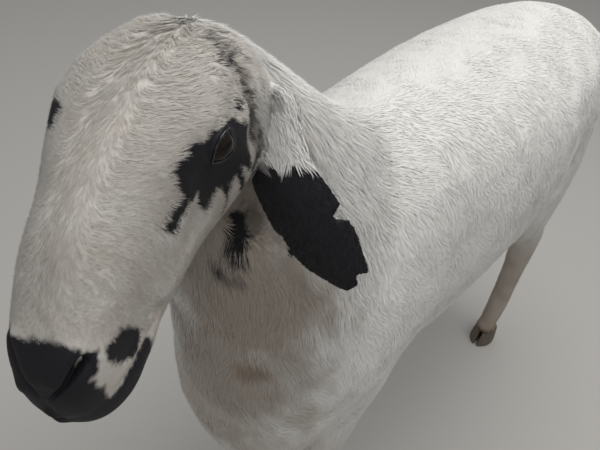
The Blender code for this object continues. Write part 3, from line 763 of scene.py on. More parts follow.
def markings(points, ear_share):
    """How black each point is, and how much soil and painted shade it has, both from 0 to 1."""
    place = to_head(points)
    flat = place[:, :2]
    uneven = 0.0016 * ripple(points, 0.014, 3) + 0.0012 * ripple(points, 0.006, 4)
    side_of_face = np.abs(place[:, 2]) > 0.018
    on_face = (place[:, 0] > -0.03) & (place[:, 1] > -0.11) & (np.abs(place[:, 2]) < 0.075)
    nearest = np.full(len(points), 1.0)
    for path, thickness in EYE_PATCH:
        nearest = np.minimum(nearest, np.where(side_of_face, blot(flat, path, thickness), 1.0))
    nose = np.interp(place[:, 1], NOSE_BORDER_UP, NOSE_BORDER_FORWARD) - place[:, 0]
    nose += 0.003 * (1 - ramp(place[:, 2], -0.012, 0.004)) * ramp(place[:, 1], -0.014, -0.006)
    nose -= 0.004 * (1 - ramp(place[:, 2], -0.015, -0.005)) * (1 - ramp(place[:, 1], -0.018, -0.008))
    for side, _ in SIDES:
        nose = np.minimum(nose, path_distance(place, on_side(NOSTRIL, side))[0] - 0.0085)
    lip = np.interp(place[:, 0], LIP_LINE_FORWARD, LIP_LINE_UP)
    chin = np.maximum(0.204 + 0.020 * ramp(-place[:, 1], 0.062, 0.095) - place[:, 0], place[:, 1] - lip)
    nearest = np.minimum(nearest, np.minimum(nose, chin))
    black = (1 - ramp(nearest + uneven, -0.0010, 0.0012)) * on_face * (ear_share < 0.4)
    left = place[:, 2] > 0
    streak = blot(place, POLL_STREAK, STREAK_THICKNESS)
    streak = (1 - ramp(streak + 1.5 * uneven, -0.003, 0.002)) * left
    streak = streak * (0.80 + 0.35 * ripple(points, 0.008, 5))
    jaw_mark = blot(place, JAW_MARK, (0.009, 0.011, 0.011, 0.008))
    jaw_mark = (1 - ramp(jaw_mark + 1.5 * uneven, -0.002, 0.002)) * left
    far_patch = 1 - ramp(blot(place, FAR_PATCH, (0.010, 0.009)) + uneven, -0.001, 0.001)
    black = np.maximum(black, np.clip(np.maximum(far_patch, jaw_mark), 0, 1))
    ear_t, ear_side = along_ear(points)
    ear_roots = np.where((ear_side == LEFT)[:, None], ear_axes[LEFT][0], ear_axes[RIGHT][0])
    from_root = (place - to_head(ear_roots)) * np.stack([ear_t * 0 + 1, ear_t * 0 + 1, ear_side], axis=1)
    tilted = ear_t + EAR_BORDER_TILT * (from_root @ EAR_ACROSS)
    ear_black = ramp(tilted + 0.018 * ripple(points, 0.020, 6), EAR_BORDER - 0.012, EAR_BORDER + 0.012)
    black = np.maximum(np.where(ear_share > 0.4, ear_black, black), np.clip(streak, 0, 1))
    for spot, radius, darkness in GREY_SPOTS:
        away = np.linalg.norm(place - np.array(spot), axis=1) + uneven
        black = np.maximum(black, darkness * (1 - ramp(away, radius * 0.7, radius * 1.2)))
    # Soil and painted shade together: brown dirt, and painted shade on the neck, chest and head.
    soil_and_shade = np.zeros(len(points))
    for spot, radius, strength in SOIL_AND_SHADE:
        away = np.linalg.norm(points - np.array(spot), axis=1) * (1 + 0.25 * ripple(points, 0.030, 7))
        soil_and_shade = np.maximum(soil_and_shade, strength * (1 - ramp(away, radius * 0.4, radius * 1.3)))
    # The legs grow darker and browner toward the hooves.
    shins = 0.85 * (1 - ramp(points[:, 2], 0.20, 0.44)) + 0.15 * (1 - ramp(points[:, 2], 0.04, 0.12))
    soil_and_shade = np.maximum(soil_and_shade, shins * (0.86 + 0.10 * ripple(points, 0.05, 8)))
    tint = np.linalg.norm(place - np.array((0.153, -0.024, 0.045)), axis=1)
    soil_and_shade = np.maximum(soil_and_shade, 0.30 * (1 - ramp(tint, 0.004, 0.018)))
    # Painted shade on the head: its hair is made duller and browner, more so low on the face and less round
    # the ears' roots.
    head_shade = 0.36 + 0.08 * ripple(points, 0.05, 9) + 0.10 * ramp(-place[:, 1], 0.02, 0.08)
    head_shade += 0.05 * ripple(points, 0.015, 10)
    head_shade *= ramp(place[:, 0], -0.020, 0.020) * (1 - 0.7 * ear_root(place))
    soil_and_shade = np.maximum(soil_and_shade, head_shade * is_head(points) * (ear_share < 0.4))
    return np.clip(black, 0, 1), np.clip(soil_and_shade, 0, 1)


def add_layer(mesh, name, values):
    """Stores a number, or a vector of three, for each point."""
    values = np.asarray(values, np.float32)
    vectors = values.shape[-1] == 3 and values.ndim > 1
    layer = mesh.attributes.new(name, "FLOAT_VECTOR" if vectors else "FLOAT", "POINT")
    layer.data.foreach_set("vector" if vectors else "value", values.ravel())


skin_points, skin_edges = points_of(skin.data), edges_of(skin.data)
skin_part = parts_at(skin_points, skin_edges, 6)
ear_share = ramp(skin_part["ear"], 0.3, 0.6)
skin_black, skin_soil_and_shade = markings(skin_points, ear_share)
add_layer(skin.data, "black", skin_black)
# The skin's layer of soil and painted shade.
add_layer(skin.data, "soil_and_shade", skin_soil_and_shade)
# Painted shade: the skin under the coat takes a colour partway to the root's, and darker on the head, for the
# shade in the gaps between tufts.
add_layer(skin.data, "tip", 0.50 - 0.42 * skin_part["head"])
print("black on", round(float(skin_black.mean()) * 100, 1), "% of the skin's points")

# %% [markdown]
# ## How the coat looks
#
# One node group turns the layers into a colour. Hair is palest at its tip and darker toward
# its root, a painted shade for the shadow among the hairs. Each material feeds it a fine
# noise, which draws the strands within a tuft.

# %% Shader groups
WHITE_TIP = (0.80, 0.79, 0.765, 1)
# Hair near its root is yellower, and darker as painted shade among the hairs.
WHITE_ROOT_SHADED = (0.57, 0.565, 0.54, 1)
BLACK_HAIR = (0.011, 0.010, 0.013, 1)
# The brown of soil, also used for painted shade.
SOILED_AND_SHADED = (0.23, 0.15, 0.085, 1)


def new_group(name, inputs, outputs):
    group = bpy.data.node_groups.new(name, "ShaderNodeTree")
    for title, kind in inputs:
        group.interface.new_socket(title, in_out="INPUT", socket_type=kind)
    for title, kind in outputs:
        group.interface.new_socket(title, in_out="OUTPUT", socket_type=kind)
    return group, group.nodes.new("NodeGroupInput"), group.nodes.new("NodeGroupOutput")


def mix_colour(group, share, first, second):
    """A mix node. Each of the three may be a socket or a value."""
    node = group.nodes.new("ShaderNodeMix")
    node.data_type = "RGBA"
    for socket, value in ((node.inputs["Factor"], share), (node.inputs[6], first), (node.inputs[7], second)):
        if isinstance(value, (int, float, tuple)):
            socket.default_value = value
        else:
            group.links.new(value, socket)
    return node.outputs[2]


def sum_of(group, operation, first, second, third=None):
    node = group.nodes.new("ShaderNodeMath")
    node.operation = operation
    for socket, value in zip(node.inputs, (first, second, third)):
        if value is None:
            continue
        if isinstance(value, (int, float)):
            socket.default_value = value
        else:
            group.links.new(value, socket)
    return node.outputs[0]


def layer_of(tree, name, output="Fac"):
    node = tree.nodes.new("ShaderNodeAttribute")
    node.attribute_name = name
    return node.outputs[output]


def noise_of(tree, vector, scale, detail=2.0):
    node = tree.nodes.new("ShaderNodeTexNoise")
    node.inputs["Scale"].default_value = scale
    node.inputs["Detail"].default_value = detail
    if vector is not None:
        tree.links.new(vector, node.inputs["Vector"])
    return node.outputs["Fac"]


coat_group, given, made = new_group(
    "coat_colour",
    [(title, "NodeSocketFloat") for title in ("Black", "Soil_and_shade", "Tip_and_shade", "Strand")],
    [("Color", "NodeSocketColor"), ("Roughness", "NodeSocketFloat")],
)
place = coat_group.nodes.new("ShaderNodeTexCoord").outputs["Object"]
blotchy = noise_of(coat_group, place, 38.0)
# Painted shade: the colour darkens from tip to root, and the tip layer is lowered on the head and on the
# skin.
white = mix_colour(coat_group, sum_of(coat_group, "POWER", given.outputs["Tip_and_shade"], 0.55), WHITE_ROOT_SHADED, WHITE_TIP)
warm = sum_of(coat_group, "MULTIPLY", blotchy, 0.22)
white = mix_colour(coat_group, warm, white, (0.70, 0.655, 0.57, 1))
dim = sum_of(coat_group, "MULTIPLY_ADD", given.outputs["Strand"], -0.26, 0.13)
white = mix_colour(coat_group, sum_of(coat_group, "MAXIMUM", dim, 0.0), white, (0.50, 0.49, 0.465, 1))
# Soil and painted shade both turn the hair brown here.
white = mix_colour(coat_group, sum_of(coat_group, "MULTIPLY", given.outputs["Soil_and_shade"], 0.85), white, SOILED_AND_SHADED)
colour = mix_colour(coat_group, given.outputs["Black"], white, BLACK_HAIR)
coat_group.links.new(colour, made.inputs["Color"])
rough = sum_of(coat_group, "MULTIPLY_ADD", given.outputs["Black"], -0.22, 0.82)
coat_group.links.new(rough, made.inputs["Roughness"])


def new_material(name):
    """A material, its node tree and its Principled shader."""
    look = bpy.data.materials.new(name)
    look.use_nodes = True
    return look, look.node_tree, look.node_tree.nodes["Principled BSDF"]


def add_bump(tree, surface, height, strength, distance):
    bump = tree.nodes.new("ShaderNodeBump")
    bump.inputs["Strength"].default_value = strength
    bump.inputs["Distance"].default_value = distance
    tree.links.new(height, bump.inputs["Height"])
    tree.links.new(bump.outputs["Normal"], surface.inputs["Normal"])


def coat_material(name, on_skin):
    look, tree, surface = new_material(name)
    coat = tree.nodes.new("ShaderNodeGroup")
    coat.node_tree = coat_group
    tree.links.new(layer_of(tree, "black"), coat.inputs["Black"])
    # This layer holds painted shade as well as soil.
    tree.links.new(layer_of(tree, "soil_and_shade"), coat.inputs["Soil_and_shade"])
    if on_skin:
        place = tree.nodes.new("ShaderNodeTexCoord").outputs["Object"]
        strand = noise_of(tree, place, 420.0, 3.0)
    else:
        strand = noise_of(tree, layer_of(tree, "strand", "Vector"), 1.0, 2.0)
    tree.links.new(layer_of(tree, "tip"), coat.inputs["Tip_and_shade"])
    tree.links.new(strand, coat.inputs["Strand"])
    tree.links.new(coat.outputs["Color"], surface.inputs["Base Color"])
    tree.links.new(coat.outputs["Roughness"], surface.inputs["Roughness"])
    surface.inputs["Specular IOR Level"].default_value = 0.25
    add_bump(tree, surface, strand, *((0.35, 0.0006) if on_skin else (0.45, 0.0003)))
    return look


skin_look = coat_material("skin_look", True)
coat_look = coat_material("coat_look", False)
skin.data.materials.clear()
skin.data.materials.append(skin_look)
print("coat looks ready")

# %% [markdown]
# ## Lie of the coat
#
# Hair lies at a low slope and always the same way on the same part. On the bridge of the nose
# it runs forward, and on each side of it fans outward and back, then turns down the cheek.
# On the neck and chest it hangs. Along the back it lies backward and sheds down both flanks,
# and it runs straight down the legs.

# %% Direction of the hair
def flattened(direction, normal):
    """The part of a direction that lies in the skin."""
    return unit(direction - normal * np.sum(direction * normal, axis=1, keepdims=True))


def swung(direction, normal, angle):
    """Turned about the normal."""
    return direction * np.cos(angle)[:, None] + np.cross(normal, direction) * np.sin(angle)[:, None]


def stacked(*columns):
    return np.stack([np.broadcast_to(np.asarray(c, float), columns[0].shape) for c in columns], axis=1)


def lie_on_head(points, normal):
    place, facing = to_head(points), normal @ HEAD_AXES.T
    side = np.sign(place[:, 2])
    off_middle = ramp(np.abs(place[:, 2]), 0.003, 0.018)
    back = np.interp(place[:, 0], (0.0, 0.06, 0.15, 0.24), (1.3, 1.0, 0.45, 0.05))
    on_top = stacked(1 - off_middle - off_middle * back, -0.30 * off_middle, off_middle * side)
    on_poll = stacked(-np.ones(len(side)), -0.1, side * (0.2 + 0.8 * off_middle))
    on_top += (on_poll - on_top) * (1 - ramp(place[:, 0], -0.030, -0.005))[:, None]
    low = 1 - ramp(place[:, 1], -0.110, -0.060)
    on_cheek = stacked(-0.55 * back - 0.5 * low, -1.0 + 0.5 * low, 0.15 * side)
    cheek = ramp(np.abs(facing[:, 2]), 0.60, 0.92) * ramp(0.035 - place[:, 1], 0.0, 0.045)
    under = ramp(-facing[:, 1], 0.5, 0.85)
    lie = on_top + (on_cheek - on_top) * cheek[:, None]
    lie += (stacked(-np.ones(len(side)), 0.0, 0.0) - lie) * under[:, None]
    turn = 0.22 * ripple(points, 0.035, 21) + 0.20 * ripple(points, 0.012, 22)
    turn += 0.45 * ripple(points, 0.018, 23) * (1 - ramp(place[:, 0], 0.030, 0.075))
    return swung(flattened(lie @ HEAD_AXES, normal), normal, turn)


def lie_on_body(points, normal, part):
    outward = np.clip(points[:, 0] / 0.08, -1, 1)
    top = ramp(normal[:, 2], 0.35, 0.95)
    trunk = stacked(outward * 0.5, 0.55 + 0.8 * top, -1.0)
    neck = stacked(outward * 0.25, 0.25 + 0.5 * top, -1.0)
    leg = stacked(0 * outward, 0.18, -1.0)
    tail = stacked(outward * 0.4, 0.12, -1.0)
    lie = trunk * part["trunk"][:, None] + neck * part["neck"][:, None]
    lie += leg * part["leg"][:, None] + tail * part["tail"][:, None]
    turn = (0.42 * ripple(points, 0.11, 24) + 0.45 * ripple(points, 0.045, 25)) * part["trunk"]
    turn += (0.30 * ripple(points, 0.10, 26) + 0.30 * ripple(points, 0.035, 27)) * part["neck"]
    turn += 0.15 * ripple(points, 0.03, 28) * part["leg"]
    return swung(flattened(lie, normal), normal, turn)


def lie_of_coat(points, normal, part):
    lie = lie_on_body(points, normal, part) * (1 - part["head"] - part["ear"])[:, None]
    lie += lie_on_head(points, normal) * part["head"][:, None]
    place = to_head(points)
    on_ear = np.maximum(part["ear"], 0.9 * part["head"] * ear_root(place))
    turn = 0.45 * ripple(points, 0.016, 29)
    for side, _ in SIDES:
        along = np.broadcast_to(ear_axes[side][2], points.shape)
        here = (np.sign(place[:, 2]) == side) * on_ear
        lie += swung(flattened(along, normal), normal, turn) * here[:, None]
    return flattened(lie, normal)


print("lie ready")

# %% [markdown]
# ## Roots
#
# Roots are strewn over the skin's faces, so many to the square metre on each part. None
# stands in the mouth, in a nostril or in the opening of an eye.

# %% Strew the roots
HAIR_PARTS = ("head", "neck", "trunk", "tail", "leg", "ear")


def each_part(*values):
    return dict(zip(HAIR_PARTS, values))


DENSITY = each_part(900_000, 400_000, 118_000, 90_000, 105_000, 260_000)  # tufts to the square metre
LENGTH = each_part(0.0085, 0.0240, 0.0150, 0.0240, 0.0120, 0.0110)
HALF_WIDTH = each_part(0.00034, 0.00060, 0.0012, 0.0013, 0.0008, 0.00045)

skin_normals = normals_of(skin.data)
skin_tris = pulled(skin.data.polygons, "vertices", 3, np.int32)
skin_uvs = pulled(skin.data.uv_layers[UNWRAP].data, "uv", 2).reshape(-1, 3, 2)
skin_tree = BVHTree.FromPolygons(skin_points.tolist(), skin_tris.tolist())


def bare_share(points):
    """How short the hair is on the face: 1 where it is full, 0 where there is none."""
    place = to_head(points)
    full = np.ones(len(points))
    for side, _ in SIDES:
        gap, away, _, faces_out = around_eye(place, side)
        near_eye = (away < 0.040) & (faces_out > 0)
        full = np.where(near_eye, np.minimum(full, ramp(gap, 0.0012, 0.016)), full)
        full = np.minimum(full, ramp(path_distance(place, on_side(MOUTH, side))[0], 0.0015, 0.016))
        full = np.minimum(full, ramp(path_distance(place, on_side(NOSTRIL, side))[0], 0.003, 0.014))
    return full


corner = skin_points[skin_tris]
face_area = np.linalg.norm(np.cross(corner[:, 1] - corner[:, 0], corner[:, 2] - corner[:, 0]), axis=1) / 2
face_full = bare_share(corner.mean(1))
face_share = {part: skin_part[part][skin_tris].mean(1) for part in HAIR_PARTS}
expected = sum(DENSITY[part] * face_share[part] for part in HAIR_PARTS) * face_area * (face_full > 0.01)
number = np.floor(expected + chance.random(len(expected))).astype(int)
root_face = np.repeat(np.arange(len(number)), number)
weights = chance.random((len(root_face), 2))
folded = weights.sum(1) > 1
weights[folded] = 1 - weights[folded]
weights = np.column_stack([weights, 1 - weights.sum(1)])


def at_roots(values):
    """A value of the skin's points, read at each root."""
    mixed = values[skin_tris[root_face]]
    return np.einsum("rc,rc...->r...", weights, mixed)


root = at_roots(skin_points)
root_normal = unit(at_roots(skin_normals))
root_uv = np.einsum("rc,rcd->rd", weights, skin_uvs[root_face])
root_part = {part: at_roots(skin_part[part]) for part in HAIR_PARTS}
root_ear = ramp(root_part["ear"], 0.3, 0.6)
root_black, root_soil_and_shade = markings(root, root_ear)
root_full = bare_share(root)
print(len(root), "roots")

# %% [markdown]
# ## Tufts
#
# A tuft is a closed blade with three long edges: two lie on the coat and one is its ridge. It
# narrows to a point at the coat's height over the skin. Most are one straight spike of four
# faces, an ear's has one bend and the tail's have two. The tips of neighbours lean together,
# which parts the coat into locks with thin gaps between them.

# %% Build the tufts
COAT_LIFT = each_part(0.0022, 0.0055, 0.0026, 0.0045, 0.0032, 0.0022)
LOCK_SIZE = each_part(7, 7, 5, 5, 5, 7)  # tufts to a lock
LEAN = each_part(0.30, 0.44, 0.12, 0.60, 0.30, 0.55)  # toward the lock's tip
RIDGE = each_part(0.22, 0.18, 0.12, 0.25, 0.22, 0.28)  # as a share of half width
TIP_HEIGHT = each_part(0.75, 0.80, 0.85, 0.60, 0.90, 0.85)  # of the lift
HOOF_HAIR_BELOW = 0.056  # hair rooted lower than this hangs free over the hoof
EAR_CLEARANCE = 0.022  # hair rooted nearer than this to an ear is shorter
PATCH = 0.0015  # half of the patch of the unwrap that a tuft takes its colour from


def per_root(table):
    return sum(table[part] * root_part[part] for part in HAIR_PARTS)


bare_ear = root_ear * ramp(root_black, 0.6, 0.9)
muzzle = muzzle_share(root) * root_part["head"]
lower_leg = root_part["leg"] * (1 - ramp(root[:, 2], 0.16, 0.40))
scale = (0.26 + 0.74 * root_full) * (1 - 0.68 * muzzle) * (1 - 0.62 * bare_ear) * (1 - 0.10 * lower_leg)
scale *= 1 - 0.35 * root_part["head"] * ramp(root_black, 0.3, 0.8)
behind_ear = np.ones(len(root))
for word in ("left", "right"):
    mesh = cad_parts["ear_" + word].data
    ear_solid = BVHTree.FromPolygons(points_of(mesh).tolist(), [list(p.vertices) for p in mesh.polygons])
    low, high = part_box("ear_" + word)
    close = np.all((root > np.array(low) - 0.03) & (root < np.array(high) + 0.03), axis=1) & (root_ear < 0.5)
    for i in np.nonzero(close)[0]:
        hit = ear_solid.find_nearest(root[i], 0.03)
        if hit[0] is not None:
            behind_ear[i] = min(behind_ear[i], max(0.25 + 0.5 * root_part["head"][i], hit[3] / EAR_CLEARANCE))
scale *= behind_ear
place = to_head(root)
poll_hair = root_part["head"] * (1 - ramp(place[:, 0], -0.010, 0.040)) * ramp(place[:, 1], -0.060, -0.010)
forehead = root_part["head"] * (1 - ramp(place[:, 0], 0.050, 0.125)) * ramp(place[:, 1], -0.030, 0.010)
root_of_ear = root_part["head"] * ear_root(place)
scale *= 1 + 0.7 * forehead + 0.4 * poll_hair + 1.0 * root_of_ear
scale *= 1 - 0.45 * root_part["head"] * ramp(place[:, 0], 0.185, 0.225)
length = per_root(LENGTH) * scale * chance.uniform(0.72, 1.22, len(root))
half_width = per_root(HALF_WIDTH) * (0.55 + 0.45 * scale) * chance.uniform(0.75, 1.25, len(root))
ridge = half_width * per_root(RIDGE)
height = per_root(COAT_LIFT) * np.clip(scale, 0.15, 1.0) * chance.uniform(0.55, 1.0, len(root))
height *= 1 + 0.7 * forehead + 1.2 * root_of_ear + 1.6 * poll_hair * chance.random(len(root)) ** 2
lie = lie_of_coat(root, root_normal, root_part)
lie = swung(lie, root_normal, chance.normal(0, 0.10, len(root)))


def locks():
    """For each root, the middle of the lock that it belongs to."""
    one_in = per_root(LOCK_SIZE) * (1 + 1.5 * forehead)
    chosen = np.nonzero(chance.random(len(root)) < 1 / one_in)[0]
    tree = KDTree(len(chosen))
    for i in chosen:
        tree.insert(root[i], int(i))
    tree.balance()
    return np.array([tree.find(p)[1] for p in root])


lock = locks()
lean = (per_root(LEAN) + 0.25 * forehead) * chance.uniform(0.6, 1.0, len(root))


def laid_on_skin(points, above):
    """Points brought to a height above the skin that lies nearest."""
    laid = np.empty_like(points)
    facing = np.empty_like(points)
    for i, p in enumerate(points):
        spot, normal, _, _ = skin_tree.find_nearest(p)
        laid[i], facing[i] = spot, normal
    return laid + facing * above[:, None], facing


tip_place = root + lie * length[:, None]
lock_tip = root[lock] + lie[lock] * length[lock][:, None] * 1.05
tip_place += (lock_tip - tip_place) * lean[:, None]
halfway = root + lie * (length * 0.45)[:, None]
halfway += (root[lock] + lie[lock] * (length[lock] * 0.45)[:, None] - halfway) * (lean * 0.30)[:, None]
curly = root_part["neck"] + root_part["trunk"] + root_part["tail"]
curl = 0.06 * length * chance.normal(0, 1, len(root)) * curly
halfway += np.cross(root_normal, lie) * curl[:, None]
sunk = root - root_normal * np.minimum(0.0006, height)[:, None]
middle_place, _ = laid_on_skin(halfway, height * 0.80)
tip_height = height * per_root(TIP_HEIGHT) * chance.uniform(0.6, 1.2, len(root))
tip_place, tip_normal = laid_on_skin(tip_place, tip_height)
over_hoof = (root_part["leg"] > 0.5) & (root[:, 2] < HOOF_HAIR_BELOW)
free = root + unit(lie + root_normal * 0.22) * (length * 1.15)[:, None]
free[:, 2] = np.maximum(free[:, 2], 0.004)
tip_place[over_hoof] = free[over_hoof]
print("tufts laid")

# %% Meshes of the tufts
RINGS_SHORT = ((0.0, 1.0), (1.0, 0.0))  # place along the tuft, and share of its width
RINGS_BENT = ((0.0, 0.62), (0.46, 1.0), (1.0, 0.0))
RINGS_LONG = ((0.0, 0.55), (0.34, 1.0), (0.72, 0.72), (1.0, 0.0))
RINGS = each_part(RINGS_SHORT, RINGS_SHORT, RINGS_SHORT, RINGS_LONG, RINGS_SHORT, RINGS_BENT)


def on_curve(chosen, t):
    """A place on the bent line from root to middle to tip, and the way it runs there."""
    a, b, c = sunk[chosen], middle_place[chosen], tip_place[chosen]
    b = 2 * b - (a + c) / 2
    spot = a * (1 - t) ** 2 + b * (2 * t * (1 - t)) + c * t * t
    return spot, unit((b - a) * (1 - t) + (c - b) * t)


def tuft_piece(name, chosen, rings):
    """All the chosen tufts as one mesh."""
    count, body = len(chosen), len(rings) - 1
    per_tuft = 3 * body + 1
    vertices = np.empty((count, per_tuft, 3))
    strand = np.zeros((count, per_tuft, 3))
    facing = np.empty((count, per_tuft, 3))
    tip = np.zeros((count, per_tuft))
    uv = np.repeat(root_uv[chosen][:, None, :], per_tuft, axis=1)
    own = chance.uniform(0, 90, count)
    for r, (t, share) in enumerate(rings[:-1]):
        normal = unit(root_normal[chosen] * (1 - t) + tip_normal[chosen] * t)
        centre, way = on_curve(chosen, t)
        across = unit(np.cross(normal, way))
        lift = np.cross(way, across)
        wide = (half_width[chosen] * share)[:, None]
        tall = (ridge[chosen] * share)[:, None]
        for corner_index, (sideways, upward) in enumerate(((-1, 0), (1, 0), (0, 1))):
            v = 3 * r + corner_index
            vertices[:, v] = centre + across * wide * sideways + lift * tall * upward
            strand[:, v] = np.stack([sideways * 2.6 + own, np.full(count, t * 1.3), own], axis=1)
            tip[:, v] = t
            facing[:, v] = unit(normal + across * (0.28 * sideways) - way * 0.05)
            uv[:, v] += np.array([sideways * PATCH, (t * 2 - 1) * PATCH])
    vertices[:, -1] = tip_place[chosen]
    strand[:, -1] = np.stack([own, np.full(count, 1.3), own], axis=1)
    tip[:, -1] = 1.0
    facing[:, -1] = tip_normal[chosen]
    uv[:, -1] += np.array([0.0, PATCH])
    faces, sign = [(0, 2, 1)], [-1]
    edge_pairs = ((0, 1), (1, 2), (2, 0))
    for r in range(body - 1):
        for a, b in edge_pairs:
            low_a, low_b, high_a, high_b = 3 * r + a, 3 * r + b, 3 * r + 3 + a, 3 * r + 3 + b
            faces += [(low_a, low_b, high_b), (low_a, high_b, high_a)]
            sign += [-1 if (a, b) == (0, 1) else 1] * 2
    for a, b in edge_pairs:
        faces.append((3 * (body - 1) + a, 3 * (body - 1) + b, per_tuft - 1))
        sign.append(-1 if (a, b) == (0, 1) else 1)
    faces, sign = np.array(faces), np.array(sign)
    all_faces = (faces[None] + (np.arange(count) * per_tuft)[:, None, None]).reshape(-1, 3)
    mesh = bpy.data.meshes.new(name)
    mesh.vertices.add(count * per_tuft)
    mesh.vertices.foreach_set("co", vertices.astype(np.float32).ravel())
    mesh.loops.add(all_faces.size)
    mesh.loops.foreach_set("vertex_index", all_faces.astype(np.int32).ravel())
    mesh.polygons.add(len(all_faces))
    mesh.polygons.foreach_set("loop_start", np.arange(0, all_faces.size, 3, dtype=np.int32))
    mesh.update(calc_edges=True)
    layer = mesh.uv_layers.new(name=UNWRAP)
    flat_uv = np.clip(uv.reshape(-1, 2)[all_faces.ravel()], 0.0, 1.0)
    layer.data.foreach_set("uv", flat_uv.astype(np.float32).ravel())
    add_layer(mesh, "black", np.repeat(root_black[chosen], per_tuft))
    # Soil and painted shade, read at the root.
    add_layer(mesh, "soil_and_shade", np.repeat(root_soil_and_shade[chosen], per_tuft))
    # Painted shade: each tuft darkens toward its root, and on the head the whole tuft is darker.
    add_layer(mesh, "tip", (tip * (1 - 0.85 * root_part["head"][chosen])[:, None]).ravel())
    add_layer(mesh, "strand", strand)
    mesh.materials.append(coat_look)
    mesh.shade_smooth()
    soft_normals = facing[:, faces] * sign[None, :, None, None]
    mesh.normals_split_custom_set(soft_normals.reshape(-1, 3).tolist())
    obj = new_object(name, mesh)
    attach(obj, "root")
    return len(mesh.polygons)


PIECE_LIMIT = 190_000
main_part = np.argmax(np.stack([root_part[part] for part in HAIR_PARTS]), axis=0)
tuft_total = 0
for index, part in enumerate(HAIR_PARTS):
    mine = np.nonzero(main_part == index)[0]
    rings = RINGS[part]
    faces_each = 6 * (len(rings) - 1) - 2
    pieces = math.ceil(len(mine) * faces_each / PIECE_LIMIT)
    ordered = mine[np.argsort(root[mine] @ np.array([1.0, 0.35, 0.0]))]
    for k, chosen in enumerate(np.array_split(ordered, pieces)):
        tuft_total += tuft_piece(f"coat_{part}_{k + 1}", chosen, rings)
    print(part, len(mine), "tufts in", pieces, "pieces")
print("coat of", tuft_total, "triangles")

# %% [markdown]
# ## Eyes
#
# A sheep's pupil is a level bar with rounded ends, in an iris of dark brown. The ball is a
# fine sphere whose points carry their own place on it, seen square on, and the colours are
# worked out from that. A rim of wet black skin runs round the opening.

# %% Eyeballs, rims and lashes
def eye_material():
    look, tree, surface = new_material("eye_look")
    split = tree.nodes.new("ShaderNodeSeparateXYZ")
    tree.links.new(layer_of(tree, "gaze", "Vector"), split.inputs[0])
    x, y = split.outputs["X"], split.outputs["Y"]
    long_part, high_part = [
        sum_of(tree, "POWER", sum_of(tree, "ABSOLUTE", sum_of(tree, "DIVIDE", way, half), 0.0), 3.0)
        for way, half in ((x, 0.36), (y, 0.14))
    ]
    outside_pupil = sum_of(tree, "SMOOTH_MIN", sum_of(tree, "ADD", long_part, high_part), 1.0, 0.0)
    pupil = sum_of(tree, "GREATER_THAN", outside_pupil, 0.999)
    x_squared, y_squared = (sum_of(tree, "MULTIPLY", way, way) for way in (x, y))
    radius = sum_of(tree, "SQRT", sum_of(tree, "ADD", x_squared, y_squared), 0.0)
    grain = noise_of(tree, layer_of(tree, "gaze", "Vector"), 9.0, 4.0)
    iris = mix_colour(tree, grain, (0.004, 0.003, 0.002, 1), (0.017, 0.009, 0.004, 1))
    white_of_eye = sum_of(tree, "GREATER_THAN", radius, 0.74)
    colour = mix_colour(tree, white_of_eye, iris, (0.020, 0.014, 0.012, 1))
    colour = mix_colour(tree, pupil, (0.002, 0.002, 0.003, 1), colour)
    tree.links.new(colour, surface.inputs["Base Color"])
    surface.inputs["Roughness"].default_value = 0.12
    surface.inputs["Specular IOR Level"].default_value = 0.22
    return look


def plain_material(name, colour, roughness):
    look, _, surface = new_material(name)
    surface.inputs["Base Color"].default_value = (*colour, 1.0)
    surface.inputs["Roughness"].default_value = roughness
    return look


def eyeball(side, word, look):
    shape = bmesh.new()
    bmesh.ops.create_uvsphere(shape, u_segments=64, v_segments=40, radius=EYE_RADIUS)
    mesh = bpy.data.meshes.new("eyeball_" + word)
    shape.to_mesh(mesh)
    shape.free()
    local = points_of(mesh)
    swell = 1 + 0.055 * ramp(local[:, 2] / EYE_RADIUS, 0.72, 0.95)
    looks, front, lift = eye_axes(side)
    centre = on_side(EYE_CENTRE, side)
    turned = np.array([front, lift, looks])
    put_points(mesh, from_head((local * swell[:, None]) @ turned + centre))
    if np.linalg.det(turned @ HEAD_AXES) < 0:
        mesh.flip_normals()
    add_layer(mesh, "gaze", local / EYE_RADIUS)
    mesh.materials.append(look)
    mesh.shade_smooth()
    obj = new_object("eyeball_" + word, mesh)
    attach(obj, "root")
    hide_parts("eye_" + word)


RIM_POINTS, RIM_RING, RIM_RADIUS = 72, 8, 0.0010


def on_ball(side, across, upward, radius):
    """The place on the eyeball at two angles."""
    looks, front, lift = eye_axes(side)
    flat = looks * math.cos(across) + front * math.sin(across)
    direction = flat * math.cos(upward) + lift * math.sin(upward)
    return on_side(EYE_CENTRE, side) + direction * radius


def tube(name, path, radii, ring, closed):
    """A round tube along points, with its ends closed unless it is a loop."""
    path = np.asarray(path)
    ways = unit(np.roll(path, -1, 0) - np.roll(path, 1, 0)) if closed else unit(np.gradient(path, axis=0))
    middle = path.mean(0)
    vertices, faces = [], []
    for i, (p, way) in enumerate(zip(path, ways)):
        first = unit(np.cross(way, p - middle + np.array([1e-6, 2e-6, 3e-6])))
        second = np.cross(way, first)
        for k in range(ring):
            angle = 2 * math.pi * k / ring
            vertices.append(p + (first * math.cos(angle) + second * math.sin(angle)) * radii[i])
    spans = len(path) if closed else len(path) - 1
    for i in range(spans):
        a, b = i * ring, ((i + 1) % len(path)) * ring
        for k in range(ring):
            n = (k + 1) % ring
            faces.append((a + k, a + n, b + n, b + k))
    if not closed:
        faces.append(tuple(range(ring))[::-1])
        faces.append(tuple((len(path) - 1) * ring + k for k in range(ring)))
    mesh = bpy.data.meshes.new(name)
    mesh.from_pydata([list(v) for v in vertices], [], faces)
    edited(mesh, lambda shape: bmesh.ops.recalc_face_normals(shape, faces=shape.faces))
    mesh.shade_smooth()
    return mesh


